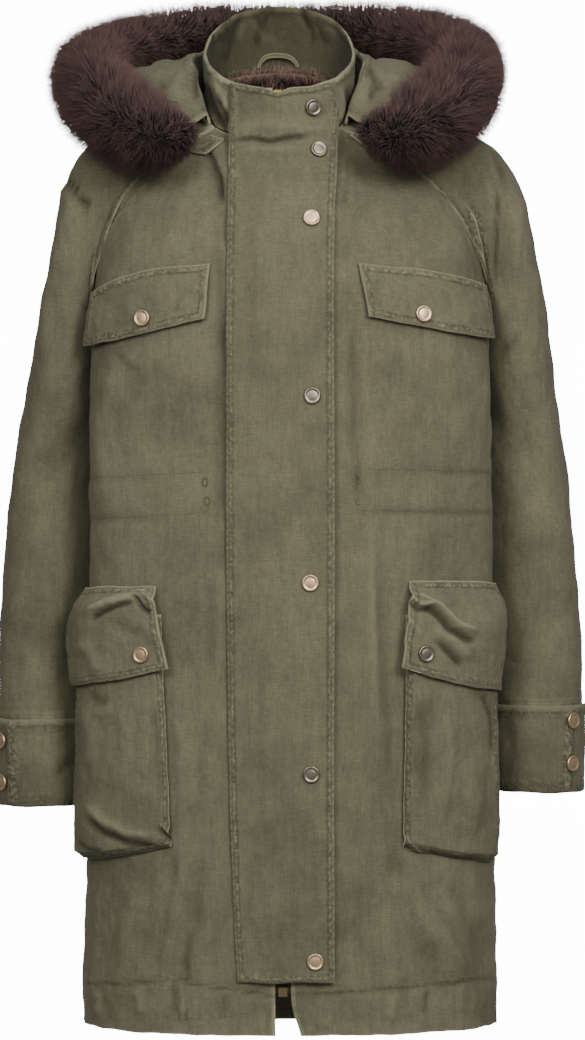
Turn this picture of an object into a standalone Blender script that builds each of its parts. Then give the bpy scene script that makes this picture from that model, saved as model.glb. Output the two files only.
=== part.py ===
"""Fur trimmed parka, built from the pieces that its maker cuts and sews.

Metres, +Z up. The coat faces -Y and +X is the wearer's left. The origin is the middle of the neck seam,
where the wearer's neck and shoulders hold the coat. Angles round the body are in degrees from the centre
front, positive to the wearer's left. A level is a height at the centre front.
"""
import math
from collections import namedtuple
from functools import lru_cache

import bmesh
import bpy
from mathutils import Matrix, Vector

COLLECTION = "parka"
TOOLS = "tools"

# Cloth and gaps
CLOTH = 0.0020
COLLAR_CLOTH = 0.0030
FLAP_CLOTH = 0.0022
POCKET_CLOTH = 0.0018
SEAM_INSET = 0.0005
CLEAR = 0.0005

# Levels of the main seams
HEM = -0.926
UNDERARM = -0.225
NECK = -0.025
COLLAR_TOP = 0.0275
CUFF_SEAM = -0.6135
CUFF_END = -0.704

# Half sections of the coat, hem to neck: the height at the side and at the centre back, the middle of the
# body, its half width, how far the front, the widest place and the back stand, and how much the arm
# presses the side in behind the widest place.
Section = namedtuple("Section", "level side back middle half front widest rear pinch")
TORSO = (
    Section(-0.926, -0.926, -0.944, 0.005, 0.214, -0.140, -0.020, 0.134, 0.00),
    Section(-0.800, -0.800, -0.810, 0.006, 0.212, -0.140, -0.022, 0.132, 0.03),
    Section(-0.690, -0.690, -0.694, 0.006, 0.210, -0.140, -0.026, 0.130, 0.08),
    Section(-0.550, -0.550, -0.550, 0.006, 0.209, -0.140, -0.032, 0.127, 0.13),
    Section(-0.390, -0.390, -0.390, 0.006, 0.208, -0.138, -0.038, 0.124, 0.15),
    Section(-0.225, -0.225, -0.225, 0.005, 0.206, -0.134, -0.038, 0.122, 0.13),
    Section(-0.150, -0.128, -0.125, 0.004, 0.198, -0.128, -0.028, 0.119, 0.06),
    Section(-0.100, -0.056, -0.045, -0.001, 0.182, -0.118, -0.016, 0.110, 0.00),
    Section(-0.060, -0.006, 0.014, -0.005, 0.136, -0.104, -0.008, 0.092, 0.00),
    Section(-0.025, 0.0185, 0.062, -0.008, 0.079, -0.086, -0.008, 0.070, 0.00),
)
COLLAR = (
    Section(-0.025, 0.0185, 0.062, -0.008, 0.079, -0.086, -0.008, 0.070, 0.00),
    Section(0.000, 0.045, 0.097, -0.007, 0.081, -0.091, -0.007, 0.076, 0.00),
    Section(0.0275, 0.073, 0.132, -0.006, 0.0795, -0.094, -0.007, 0.079, 0.00),
)
ROUNDNESS = 0.88

# Raglan seams, neck to underarm, as the angle where each crosses a level
Raglan = namedtuple("Raglan", "level front back")
RAGLAN = (
    Raglan(-0.025, 50.0, 134.0),
    Raglan(-0.045, 53.0, 131.0),
    Raglan(-0.075, 57.0, 127.0),
    Raglan(-0.110, 63.0, 122.0),
    Raglan(-0.150, 74.0, 117.0),
    Raglan(-0.190, 91.0, 112.0),
    Raglan(-0.225, 108.0, 108.0),
)
SideSeam = namedtuple("SideSeam", "level angle")
SIDE_SEAM = (
    SideSeam(-0.926, 94.0),
    SideSeam(-0.690, 98.0),
    SideSeam(-0.390, 104.0),
    SideSeam(-0.225, 108.0),
)

# Rings of the sleeve from the shoulder to the cuff, as offsets from the body's middle: the outer and
# inner ends of the ring, how far back its middle lies, its half depth, how far its front turns out, and
# how much further out its outer end hangs on the right and on the left sleeve.
Ring = namedtuple("Ring", "outer outer_z inner inner_z back deep turn right_more left_more")
SLEEVE = (
    Ring(0.2080, -0.0160, 0.1930, -0.2420, 0.012, 0.0760, 13.0, 0.0, 0.0),
    Ring(0.2480, -0.1300, 0.1930, -0.2750, 0.020, 0.0770, 14.0, -0.0075, 0.0),
    Ring(0.2650, -0.2250, 0.1920, -0.3120, 0.030, 0.0770, 15.0, -0.0045, 0.0),
    Ring(0.2765, -0.3150, 0.1910, -0.3600, 0.037, 0.0740, 15.0, 0.0020, 0.0010),
    Ring(0.2890, -0.4300, 0.1940, -0.4400, 0.036, 0.0700, 14.0, 0.0065, 0.0040),
    Ring(0.2985, -0.5400, 0.2030, -0.5350, 0.026, 0.0640, 10.0, 0.0025, 0.0030),
    Ring(0.3025, -0.6135, 0.2090, -0.6135, 0.016, 0.0560, 6.0, 0.0, 0.0),
)
BODY_MIDDLE = 0.005
LEFT_CUFF_RISE = 0.0140

# Soft folds of the body: a ridge (or a trough, where the rise is negative) from one place to another. They
# are as wide as given where the body is FOLD_RADIUS from its middle, and fade out past their ends.
FOLD_RADIUS = 0.19
FOLD_FADE = 0.10
FOLD_FADE_TOP = 0.16
# The flattened direction in which folds and tucks move the cloth out
DEPTH_PULL = 1.5
# The part of the level or angle over which a surface's direction is measured
LEVEL_STEP = 0.004
ANGLE_STEP = 1.0
Fold = namedtuple("Fold", "angle_a level_a angle_b level_b width rise")
BODY_FOLDS = (
    Fold(-24.0, -0.930, -27.0, -0.520, 0.028, 0.0045),
    Fold(-43.0, -0.930, -38.0, -0.780, 0.022, 0.0040),
    Fold(22.0, -0.930, 24.0, -0.560, 0.026, 0.0045),
    Fold(40.0, -0.930, 32.0, -0.700, 0.018, -0.0035),
    Fold(54.0, -0.930, 40.0, -0.800, 0.020, 0.0045),
    Fold(70.0, -0.930, 72.0, -0.800, 0.024, -0.0030),
    Fold(-72.0, -0.930, -72.0, -0.800, 0.026, -0.0030),
    Fold(118.0, -0.930, 124.0, -0.560, 0.030, 0.0060),
    Fold(146.0, -0.930, 141.0, -0.420, 0.032, -0.0060),
    Fold(166.0, -0.930, 163.0, -0.300, 0.034, 0.0060),
    Fold(190.0, -0.930, 188.0, -0.420, 0.032, -0.0055),
    Fold(212.0, -0.930, 214.0, -0.360, 0.032, 0.0060),
    Fold(241.0, -0.930, 238.0, -0.600, 0.030, -0.0055),
)


def smooth_step(value):
    """0 below 0, 1 above 1 and an even slope between."""
    value = min(max(value, 0.0), 1.0)
    return value * value * (3.0 - 2.0 * value)


def along_table(rows, key, at):
    """The row at a place between a table's rows, on a smooth curve through them, by its first column."""
    places = [row[0] for row in rows]
    at = min(max(at, min(places)), max(places))
    step = max(i for i in range(len(rows) - 1) if (places[i] - at) * (places[-1] - places[0]) <= 0.0)

    def slope(i, column):
        low, high = max(i - 1, 0), min(i + 1, len(rows) - 1)
        return (rows[high][column] - rows[low][column]) / (places[high] - places[low])

    span = places[step + 1] - places[step]
    t = (at - places[step]) / span
    values = [at]
    for column in range(1, len(rows[0])):
        start, end = rows[step][column], rows[step + 1][column]
        rise = 2 * t**3 - 3 * t**2 + 1
        value = rise * start + (1 - rise) * end
        value += (t**3 - 2 * t**2 + t) * span * slope(step, column)
        value += (t**3 - t**2) * span * slope(step + 1, column)
        values.append(value)
    return key(*values)


@lru_cache(maxsize=None)
def section_at(level):
    """The coat's section through a level of the body or of the collar."""
    if level > NECK:
        return along_table(COLLAR, Section, level)
    return along_table(TORSO, Section, level)


def fold_rise(angle, level):
    """How far the soft folds move the cloth out at a place of the body."""
    rise = 0.0
    turn = angle % 360.0
    for fold in BODY_FOLDS:
        low, high = sorted((fold.level_a, fold.level_b))
        share = (level - fold.level_a) / (fold.level_b - fold.level_a)
        middle = fold.angle_a + (fold.angle_b - fold.angle_a) * min(max(share, 0.0), 1.0)
        apart = (turn - middle + 180.0) % 360.0 - 180.0
        across = math.radians(apart) * FOLD_RADIUS / fold.width
        fade = smooth_step((high + FOLD_FADE - level) / FOLD_FADE_TOP)
        fade *= smooth_step((level - low + FOLD_FADE) / FOLD_FADE)
        rise += fold.rise * math.exp(-across * across) * fade
    return rise


def surface(angle, level):
    """A point of the outside of the body or the collar."""
    row = section_at(level)
    turn = math.radians(angle)
    sine, cosine = math.sin(turn), math.cos(turn)
    across = math.copysign(abs(sine) ** ROUNDNESS, sine) * row.half
    along = abs(cosine) ** ROUNDNESS
    if cosine > 0.0:
        depth = row.widest + (row.front - row.widest) * along
        height = row.side + (row.level - row.side) * cosine
    else:
        depth = row.widest + (row.rear - row.widest) * along
        height = row.side - (row.back - row.side) * cosine
        across *= 1.0 - row.pinch * smooth_step(along / 0.5)
    point = Vector((row.middle + across, depth, height))
    if level < NECK:
        out = Vector((across, depth * DEPTH_PULL, 0.0)).normalized()
        point += out * fold_rise(angle, level)
    return point


def outward(angle, level):
    """The outward direction of the body's or the collar's cloth at a place."""
    top = COLLAR_TOP if level > NECK else NECK
    low = NECK if level > NECK else HEM
    below, above = max(level - LEVEL_STEP, low), min(level + LEVEL_STEP, top)
    round_the_body = surface(angle + ANGLE_STEP, level) - surface(angle - ANGLE_STEP, level)
    up = surface(angle, above) - surface(angle, below)
    return round_the_body.cross(up).normalized()


def lifted(angle, level, lift):
    """A place of the body or the collar, moved out from the cloth."""
    return surface(angle, level) + outward(angle, level) * lift


def angle_at(x, level):
    """The angle on the front of the body where a level passes a place across it."""
    row = section_at(level)
    share = min(max((x - row.middle) / row.half, -1.0), 1.0)
    return math.degrees(math.asin(math.copysign(abs(share) ** (1.0 / ROUNDNESS), share)))


def raglan_at(level):
    """The front and back angles of the raglan seam at a level."""
    return along_table(RAGLAN, Raglan, level)


def side_seam_at(level):
    """The angle of the side seam at a level."""
    return along_table(SIDE_SEAM, SideSeam, level).angle


def spread(start, end, count):
    """Evenly spaced numbers from one to another, both included."""
    return [start + (end - start) * i / (count - 1) for i in range(count)]


# ---- Materials and objects

Finish = namedtuple("Finish", "colour roughness metallic")
FINISHES = {
    "olive_twill": Finish((0.136, 0.125, 0.084), 0.85, 0.0),
    "brown_fur": Finish((0.044, 0.026, 0.023), 0.80, 0.0),
    "pale_metal": Finish((0.560, 0.470, 0.370), 0.28, 1.0),
    "gold_metal": Finish((0.620, 0.480, 0.260), 0.30, 1.0),
    "olive_tape": Finish((0.090, 0.085, 0.055), 0.90, 0.0),
}


def clear_scene():
    """Removes the objects that a new scene starts with, and readies the coat's collections."""
    for thing in list(bpy.data.objects):
        bpy.data.objects.remove(thing, do_unlink=True)
    for name in (COLLECTION, TOOLS):
        bpy.context.scene.collection.children.link(bpy.data.collections.new(name))


def finish_of(name, finish):
    """A material of its own for one piece."""
    look = FINISHES[finish]
    material = bpy.data.materials.new(name + "_" + finish)
    material.use_nodes = True
    shader = material.node_tree.nodes["Principled BSDF"]
    shader.inputs["Base Color"].default_value = (*look.colour, 1.0)
    shader.inputs["Roughness"].default_value = look.roughness
    shader.inputs["Metallic"].default_value = look.metallic
    material.diffuse_color = (*look.colour, 1.0)
    return material


def add_piece(name, mesh, finish):
    """Puts a mesh in the coat's collection as a named piece with its own material."""
    mesh.materials.append(finish_of(name, finish))
    mesh.shade_smooth()
    mesh.set_sharp_from_angle(angle=math.radians(40.0))
    piece = bpy.data.objects.new(name, mesh)
    bpy.data.collections[COLLECTION].objects.link(piece)
    return piece


def grid_mesh(name, rows, closed=False):
    """A mesh through rows of points, joined round when closed."""
    wide = len(rows[0])
    verts = [point for row in rows for point in row]
    faces = []
    for r in range(len(rows) - 1):
        for c in range(wide if closed else wide - 1):
            right = (c + 1) % wide
            faces.append((r * wide + c, r * wide + right, (r + 1) * wide + right, (r + 1) * wide + c))
    mesh = bpy.data.meshes.new(name)
    mesh.from_pydata(verts, [], faces)
    return mesh


def add_wall(name, rows, thickness, closed=False, finish="olive_twill"):
    """Cloth through rows of outside points, which run up and then round towards the wearer's left."""
    piece = add_piece(name, grid_mesh(name, rows, closed), finish)
    solid = piece.modifiers.new("cloth", "SOLIDIFY")
    solid.thickness = thickness
    solid.offset = -1.0
    solid.use_quality_normals = True
    return piece


def draw_in(rows, inset, left=True, right=True, first=True, last=True):
    """Moves a grid's edges in by an inset, so that it stops short of the next piece at a seam."""
    grid = [[point.copy() for point in row] for row in rows]
    for edge, inner, asked in ((0, 1, left), (-1, -2, right)):
        for row in grid if asked else ():
            row[edge] += (row[inner] - row[edge]).normalized() * inset
    for edge, inner, asked in ((0, 1, first), (-1, -2, last)):
        for c in range(len(grid[0])) if asked else ():
            grid[edge][c] += (grid[inner][c] - grid[edge][c]).normalized() * inset
    return grid


# ---- Fronts, back and sleeves

HEM_ROWS = (-0.926, -0.914, -0.900, -0.872, -0.835, -0.790, -0.740, -0.690, -0.635, -0.580, -0.525, -0.470)
WAIST_ROWS = (-0.415, -0.360, -0.310, -0.265)
RAGLAN_ROWS = (-0.225, -0.198, -0.172, -0.147, -0.123, -0.100, -0.078, -0.058, -0.041, -0.025)
FRONT_COLUMNS = 11
BACK_COLUMNS = 18
ZIP_TOP_X = -0.0075
ZIP_END_X = -0.0018
ZIP_SLOT = 0.0155
HEM_CURVE = 0.0100
HEM_CURVE_TOP = -0.8950


def zip_x(level):
    """Where the zip's middle line crosses a level."""
    return ZIP_END_X + (ZIP_TOP_X - ZIP_END_X) * (level - HEM) / (COLLAR_TOP - HEM)


def front_edge(level, side):
    """The angle where the left (1) or right (-1) front ends beside the zip; the left one curves away from
    it at the hem."""
    curve = HEM_CURVE * smooth_step((HEM_CURVE_TOP - level) / (HEM_CURVE_TOP - HEM)) if side > 0.0 else 0.0
    return angle_at(zip_x(level) + side * ZIP_SLOT / 2.0 + curve, level)


def seam_at(level, front):
    """The angle where a front or the back ends at a level: the side seam, then the raglan seam."""
    if level <= UNDERARM:
        return side_seam_at(level)
    raglan = raglan_at(level)
    return raglan.front if front else raglan.back


def body_rows(first, last, columns):
    """Rows of places on the body, from one edge to another, both of them functions of the level."""
    rows = []
    for level in HEM_ROWS + WAIST_ROWS + RAGLAN_ROWS:
        rows.append([surface(angle, level) for angle in spread(first(level), last(level), columns)])
    return rows


def add_fronts_and_back():
    left = body_rows(lambda h: front_edge(h, 1.0), lambda h: seam_at(h, True), FRONT_COLUMNS)
    add_wall("front_left", draw_in(left, SEAM_INSET, left=False, first=False), CLOTH)
    right = body_rows(lambda h: -seam_at(h, True), lambda h: front_edge(h, -1.0), FRONT_COLUMNS)
    add_wall("front_right", draw_in(right, SEAM_INSET, right=False, first=False), CLOTH)
    back = body_rows(lambda h: seam_at(h, False), lambda h: 360.0 - seam_at(h, False), BACK_COLUMNS)
    add_wall("back", draw_in(back, SEAM_INSET, first=False), CLOTH)


NECK_ARC = (71.0, 92.0, 113.0)
SLEEVE_STEPS = (0.0, 0.26, 0.48, 0.7, 1.0, 1.33, 1.66, 2.0, 2.4, 2.8, 3.25, 3.7, 4.2, 4.65, 5.1, 5.55, 6.0, 6.5,
                7.0)
# How much less a ring's back half turns out than its front half, and how far round and up the armhole's
# direction is measured
BACK_TURN = 0.4
PULL_ANGLE = 3.0
PULL_LEVEL = 0.006
# How many of the armhole's points near the underarm are drawn out with it
UNDERARM_REACH = 3.2

# Soft folds of a sleeve: a ridge or trough between two places, each a share of the way round from the
# outer line through the front, and a step along the rings
SleeveFold = namedtuple("SleeveFold", "round_a step_a round_b step_b width rise")
SLEEVE_FOLDS = (
    SleeveFold(0.16, 0.7, 0.13, 2.6, 0.050, 0.0060),
    SleeveFold(0.30, 1.6, 0.10, 3.6, 0.045, -0.0050),
    SleeveFold(0.36, 2.6, 0.16, 4.6, 0.045, 0.0045),
    SleeveFold(0.34, 3.8, 0.08, 5.2, 0.045, -0.0045),
    SleeveFold(0.26, 5.0, 0.06, 6.4, 0.040, 0.0035),
    SleeveFold(0.86, 0.8, 0.82, 2.4, 0.050, 0.0055),
    SleeveFold(0.70, 1.8, 0.90, 3.6, 0.045, -0.0050),
    SleeveFold(0.66, 3.0, 0.88, 4.6, 0.045, 0.0045),
    SleeveFold(0.68, 4.2, 0.92, 5.6, 0.045, -0.0040),
)


def sleeve_fold_rise(share, step):
    """How far the soft folds move a sleeve's cloth out."""
    rise = 0.0
    for fold in SLEEVE_FOLDS:
        along = (step - fold.step_a) / (fold.step_b - fold.step_a)
        middle = fold.round_a + (fold.round_b - fold.round_a) * min(max(along, 0.0), 1.0)
        across = (share - middle) / fold.width
        fade = smooth_step((along + 0.3) / 0.5) * smooth_step((1.3 - along) / 0.5)
        rise += fold.rise * math.exp(-across * across) * fade
    return rise


def armhole_places():
    """The angle and level of each point round the armhole, and how much of its pull is down from the neck
    and how much out from the underarm. It starts on the shoulder and goes round by the front."""
    down = list(reversed(RAGLAN_ROWS))
    places = [(NECK_ARC[1], NECK, 1.0, 0.0), (NECK_ARC[0], NECK, 1.0, 0.0)]
    places += [(raglan_at(h).front, h, 0.5 if h == NECK else 0.0, 0.0) for h in down[:-1]]
    places += [(raglan_at(UNDERARM).front, UNDERARM, 0.0, 1.0)]
    places += [(raglan_at(h).back, h, 0.5 if h == NECK else 0.0, 0.0) for h in RAGLAN_ROWS[1:]]
    places += [(NECK_ARC[2], NECK, 1.0, 0.0)]
    return places


def armhole_pull(side, angle, level, from_neck, from_underarm, front):
    """The direction in which the sleeve's cloth leaves the armhole at a place of it."""
    turn = PULL_ANGLE if front else -PULL_ANGLE
    over = surface(side * (angle + turn), level) - surface(side * (angle - turn), level)
    up = surface(side * angle, min(level + PULL_LEVEL, NECK)) - surface(side * angle, level - PULL_LEVEL)
    out = Vector((0.7 * side, 0.0, -1.0))
    pull = over.normalized() * (1.0 - from_neck) - up.normalized() * from_neck
    return (pull * (1.0 - from_underarm) + out.normalized() * from_underarm).normalized()


def ring_point(side, ring, share):
    """A point of one of the sleeve's rings, a share of the way round from its outer end by the front."""
    turn = 2.0 * math.pi * share
    rise = LEFT_CUFF_RISE * smooth_step(ring.outer_z / CUFF_SEAM) if side > 0.0 else 0.0
    more = ring.left_more if side > 0.0 else ring.right_more
    outer = Vector((side * (ring.outer + more), ring.back, ring.outer_z + rise))
    inner = Vector((side * ring.inner, ring.back, ring.inner_z + rise))
    swing = math.radians(ring.turn if share < 0.5 else ring.turn * BACK_TURN)
    front = Vector((side * math.sin(swing), -math.cos(swing), 0.0)) * ring.deep
    middle = (outer + inner) / 2.0 + Vector((BODY_MIDDLE, 0.0, 0.0))
    return middle + (outer - inner) / 2.0 * math.cos(turn) + front * math.sin(turn)


def sleeve_rows(side):
    """Rows of a sleeve's outside points from the armhole to the cuff seam, each row round the arm."""
    places = armhole_places()
    count = len(places)
    columns = []
    for c, (angle, level, from_neck, from_underarm) in enumerate(places):
        share = c / count
        knots = [surface(side * angle, level)] + [ring_point(side, ring, share) for ring in SLEEVE]
        near_under = math.exp(-(((c - count / 2) / UNDERARM_REACH) ** 2))
        pull = armhole_pull(side, angle, level, from_neck, max(from_underarm, near_under), c < count / 2)
        slopes = [pull * (knots[1] - knots[0]).length]
        for i in range(1, len(knots) - 1):
            slopes.append((knots[i + 1] - knots[i - 1]) / 2.0)
        slopes.append(knots[-1] - knots[-2])
        columns.append([hermite(knots, slopes, step) for step in SLEEVE_STEPS])
    rows = [[column[r] for column in columns] for r in range(len(SLEEVE_STEPS))]
    return [puff(row, step, count) for row, step in zip(rows, SLEEVE_STEPS)]


def hermite(knots, slopes, at):
    """The point at a place along a smooth curve through knots with given slopes."""
    i = min(int(at), len(knots) - 2)
    t = at - i
    start = (2 * t**3 - 3 * t**2 + 1) * knots[i] + (t**3 - 2 * t**2 + t) * slopes[i]
    return start + (3 * t**2 - 2 * t**3) * knots[i + 1] + (t**3 - t**2) * slopes[i + 1]


def puff(row, step, count):
    """A row of the sleeve with its soft folds raised, away from the row's own middle."""
    middle = sum(row, Vector()) / count
    fade = smooth_step(step / 1.0) * smooth_step((7.0 - step) / 0.8)
    moved = []
    for c, point in enumerate(row):
        rise = sleeve_fold_rise(c / count, step) * fade
        moved.append(point + (point - middle).normalized() * rise)
    return moved


def add_sleeves():
    for side, name in ((1.0, "sleeve_left"), (-1.0, "sleeve_right")):
        rows = sleeve_rows(side)
        if side > 0.0:
            rows = [list(reversed(row)) for row in rows]
        rows.reverse()
        add_wall(name, draw_in(rows, SEAM_INSET, left=False, right=False), CLOTH, closed=True)


# ---- Cuffs

CUFF_COLUMNS = 24
CUFF_OVERLAP = 3
CUFF_SPLIT = 0.03
CUFF_CLOTH = 0.0024
CUFF_ROWS = 4
CUFF_LAP = CUFF_CLOTH + 0.0012
# A cuff is this much fuller than the sleeve's end, and draws in by this much towards its own end
CUFF_FULLER = 0.0008
CUFF_TAPER = Ring(0.0020, 0.0, 0.0010, 0.0, 0.0040, 0.0015, 0.0, 0.0, 0.0)


def cuff_ring(level):
    """The ring of the cuff at a level, a little fuller than the sleeve's end."""
    end = SLEEVE[-1]
    fall = (CUFF_SEAM - level) / (CUFF_SEAM - CUFF_END)
    return Ring(end.outer + CUFF_FULLER - CUFF_TAPER.outer * fall, level,
                end.inner - CUFF_FULLER - CUFF_TAPER.inner * fall, level,
                end.back - CUFF_TAPER.back * fall, end.deep + CUFF_FULLER - CUFF_TAPER.deep * fall, end.turn,
                0.0, 0.0)


def cuff_point(side, share, level, lift):
    """A place of a cuff, moved out from the ring that it follows."""
    ring = cuff_ring(level)
    middle = ring_point(side, ring, 0.0).lerp(ring_point(side, ring, 0.5), 0.5)
    point = ring_point(side, ring, share)
    return point + (point - middle).normalized() * lift


def add_cuffs():
    for side, name in ((1.0, "cuff_left"), (-1.0, "cuff_right")):
        rows = []
        for level in spread(CUFF_END, CUFF_SEAM - 2.0 * SEAM_INSET, CUFF_ROWS):
            row = []
            for c in range(CUFF_COLUMNS + CUFF_OVERLAP + 1):
                lap = CUFF_LAP * smooth_step((CUFF_OVERLAP + 3.0 - c) / 2.0)
                row.append(cuff_point(side, CUFF_SPLIT + c / CUFF_COLUMNS, level, lap))
            rows.append(row if side < 0.0 else list(reversed(row)))
        add_wall(name, rows, CUFF_CLOTH)


# ---- Collar and storm flap

COLLAR_ROWS = (-0.025, -0.012, 0.006, 0.0275)


def collar_angles():
    """The angles of the collar's columns, which fall on the neck edges of the pieces below it."""
    right, left = front_edge(NECK, -1.0), front_edge(NECK, 1.0)
    front, back = raglan_at(NECK).front, raglan_at(NECK).back
    half = spread(left, front, FRONT_COLUMNS)[:-1] + [front, *NECK_ARC]
    behind = spread(back, 360.0 - back, BACK_COLUMNS)
    other = [360.0 - a for a in reversed(NECK_ARC)] + [360.0 - front]
    return half + behind + other + spread(360.0 - front, 360.0 + right, FRONT_COLUMNS)[1:]


def add_collar():
    rows = [[surface(angle, level) for angle in collar_angles()] for level in COLLAR_ROWS]
    add_wall("collar", draw_in(rows, SEAM_INSET, left=False, right=False, last=False), COLLAR_CLOTH)


FLAP_END = -0.8725
FLAP_COLUMNS = 7
FlapEdge = namedtuple("FlapEdge", "level seam free")
FLAP_EDGES = (
    FlapEdge(-0.8725, -0.0475, 0.0492),
    FlapEdge(-0.7000, -0.0545, 0.0485),
    FlapEdge(-0.4500, -0.0580, 0.0490),
    FlapEdge(-0.1300, -0.0580, 0.0485),
    FlapEdge(-0.0400, -0.0560, 0.0510),
    FlapEdge(0.0275, -0.0540, 0.0444),
)
FLAP_SEWN = FLAP_CLOTH + 0.0012
FLAP_STAND = 0.0088
FLAP_STAND_AT_COLLAR = 0.0125
FLAP_BRIDGE = (-0.062, -0.006)
FLAP_LEVELS = (*spread(FLAP_END, -0.12, 24), -0.09, *FLAP_BRIDGE, 0.010, COLLAR_TOP)


def flap_lift(x, level):
    """How far the storm flap's outside stands off the fronts and the collar."""
    edges = along_table(FLAP_EDGES, FlapEdge, level)
    share = (x - edges.seam) / (edges.free - edges.seam)
    stand = FLAP_STAND + (FLAP_STAND_AT_COLLAR - FLAP_STAND) * smooth_step((level + 0.09) / 0.07)
    rise = smooth_step(share / 0.40) * (1.0 - 0.25 * smooth_step(share - 0.1))
    return FLAP_SEWN + (stand - FLAP_SEWN) * rise


def on_flap(x, level):
    """A place of the storm flap's outside, which bridges the hollow at the neck seam."""
    low, high = FLAP_BRIDGE
    if low < level < high:
        return on_flap(x, low).lerp(on_flap(x, high), (level - low) / (high - low))
    return lifted(angle_at(x, level), level, flap_lift(x, level))


def add_storm_flap():
    rows = []
    for level in FLAP_LEVELS:
        edges = along_table(FLAP_EDGES, FlapEdge, level)
        rows.append([on_flap(x, level) for x in spread(edges.seam, edges.free, FLAP_COLUMNS)])
    add_wall("storm_flap", rows, FLAP_CLOTH)


# ---- Chest flaps, cargo pockets and their flaps

def level_at(angle, height):
    """The level that passes a place of the body at a given height."""
    low, high = HEM, NECK
    for _ in range(24):
        middle = (low + high) / 2.0
        if surface(angle, middle).z < height:
            low = middle
        else:
            high = middle
    return (low + high) / 2.0


# A patch on a front, by its corners: the angle and height of its inner and outer, upper and lower ends, how
# far its lower edge sags and how far its upper edge arches
Patch = namedtuple("Patch", "inner_top inner_top_z outer_top outer_top_z "
                            "inner_low inner_low_z outer_low outer_low_z sag arch")
CHEST_FLAPS = {
    -1.0: Patch(20.5, -0.1530, 75.0, -0.1800, 21.5, -0.2085, 77.0, -0.2335, 0.0050, 0.0060),
    1.0: Patch(17.5, -0.1530, 73.0, -0.1720, 19.5, -0.2065, 75.0, -0.2260, 0.0040, 0.0025),
}
POCKET_FLAPS = {
    -1.0: Patch(37.5, -0.4765, 82.0, -0.4790, 30.5, -0.5590, 81.0, -0.5790, 0.0040, 0.0010),
    1.0: Patch(31.5, -0.4710, 79.0, -0.4740, 27.0, -0.5580, 71.5, -0.5830, 0.0050, 0.0010),
}
POCKETS = {
    -1.0: Patch(35.2, -0.5050, 82.0, -0.5050, 30.8, -0.7370, 81.0, -0.7560, 0.0050, 0.0),
    1.0: Patch(29.9, -0.5050, 74.5, -0.5050, 28.5, -0.7380, 73.5, -0.7570, 0.0050, 0.0),
}
POCKET_DEEP_INNER = 0.0110
POCKET_DEEP_OUTER = {-1.0: 0.0140, 1.0: 0.0110}
# How much fuller a pocket's flap is at its outer edge
OUTER_FULNESS = {-1.0: 0.0050, 1.0: 0.0025}


def on_patch(side, patch, across, down, lift):
    """A place of a patch, a share of the way across from its inner edge and down from its top."""
    top = patch.inner_top + (patch.outer_top - patch.inner_top) * across
    low = patch.inner_low + (patch.outer_low - patch.inner_low) * across
    top_z = patch.inner_top_z + (patch.outer_top_z - patch.inner_top_z) * across
    low_z = patch.inner_low_z + (patch.outer_low_z - patch.inner_low_z) * across
    low_z -= patch.sag * math.sin(math.pi * across)
    top_z += patch.arch * math.sin(math.pi * across)
    angle = side * (top + (low - top) * down)
    return lifted(angle, level_at(angle, top_z + (low_z - top_z) * down), lift)


def patch_rows(side, patch, lift, columns, rows):
    """Rows of outside points of a patch, whose lift is a function of the place across and down."""
    grid = []
    for down in reversed(rows):
        row = [on_patch(side, patch, across, down, lift(across, down)) for across in columns]
        grid.append(row if side > 0.0 else list(reversed(row)))
    return grid


def hump(across, down, at_across, at_down, wide, tall):
    """A soft round rise, 1 at its middle."""
    return math.exp(-(((across - at_across) / wide) ** 2) - (((down - at_down) / tall) ** 2))


def chest_lift(across, down):
    """How far a chest flap's outside stands off: sewn at the top, free at the bottom and outer end."""
    return FLAP_SEWN + 0.0030 * smooth_step(down / 0.6) + 0.0035 * smooth_step((across - 0.6) / 0.4)


def pocket_depth(side, across, down):
    """How far a bellows pocket's face stands off the front."""
    depth = POCKET_DEEP_INNER + (POCKET_DEEP_OUTER[side] - POCKET_DEEP_INNER) * smooth_step(across / 0.7)
    depth += 0.0050 * hump(across, down, 0.55, 0.80, 0.40, 0.25)
    return depth - 0.0030 * smooth_step((0.20 - down) / 0.2)


def pocket_lift(side):
    """A bellows pocket's outside: its sides and bottom rise steeply from the front to its face."""
    def lift(across, down):
        rise = min(smooth_step((across + 0.008) / 0.045), smooth_step((1.008 - across) / 0.045))
        rise = min(rise, smooth_step((1.006 - down) / 0.035))
        sewn = POCKET_CLOTH + 2.0 * CLEAR
        return sewn + (pocket_depth(side, across, down) - sewn) * rise
    return lift


def pocket_flap_lift(side):
    """The lift of a pocket flap's outside: sewn at the top, then out over the pocket's face, with the
    folds that its fulness makes."""
    def lift(across, down):
        share = smooth_step(down / 0.20)
        over = pocket_depth(side, across, down * 0.4) + FLAP_CLOTH + 0.0030
        value = FLAP_SEWN + (over - FLAP_SEWN) * share
        value += OUTER_FULNESS[side] * hump(across, down, 0.92, 0.55, 0.25, 0.30)
        if side > 0.0:
            value += 0.0050 * hump(across, down, 0.70, 0.42, 0.22, 0.16)
        else:
            value += 0.0050 * hump(across, down, 0.22, 0.22, 0.14, 0.12)
            value += 0.0035 * hump(across, down, 0.65, 0.30, 0.25, 0.14)
        return value
    return lift


FLAP_ROWS = (0.0, 0.07, 0.14, 0.21, 0.32, 0.45, 0.60, 0.80, 1.0)
POCKET_COLUMNS = (0.0, 0.012, 0.037, 0.15, 0.30, 0.45, 0.60, 0.75, 0.87, 0.963, 0.988, 1.0)
POCKET_ROWS = (0.0, 0.16, 0.32, 0.48, 0.64, 0.78, 0.90, 0.971, 0.990, 1.0)


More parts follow.
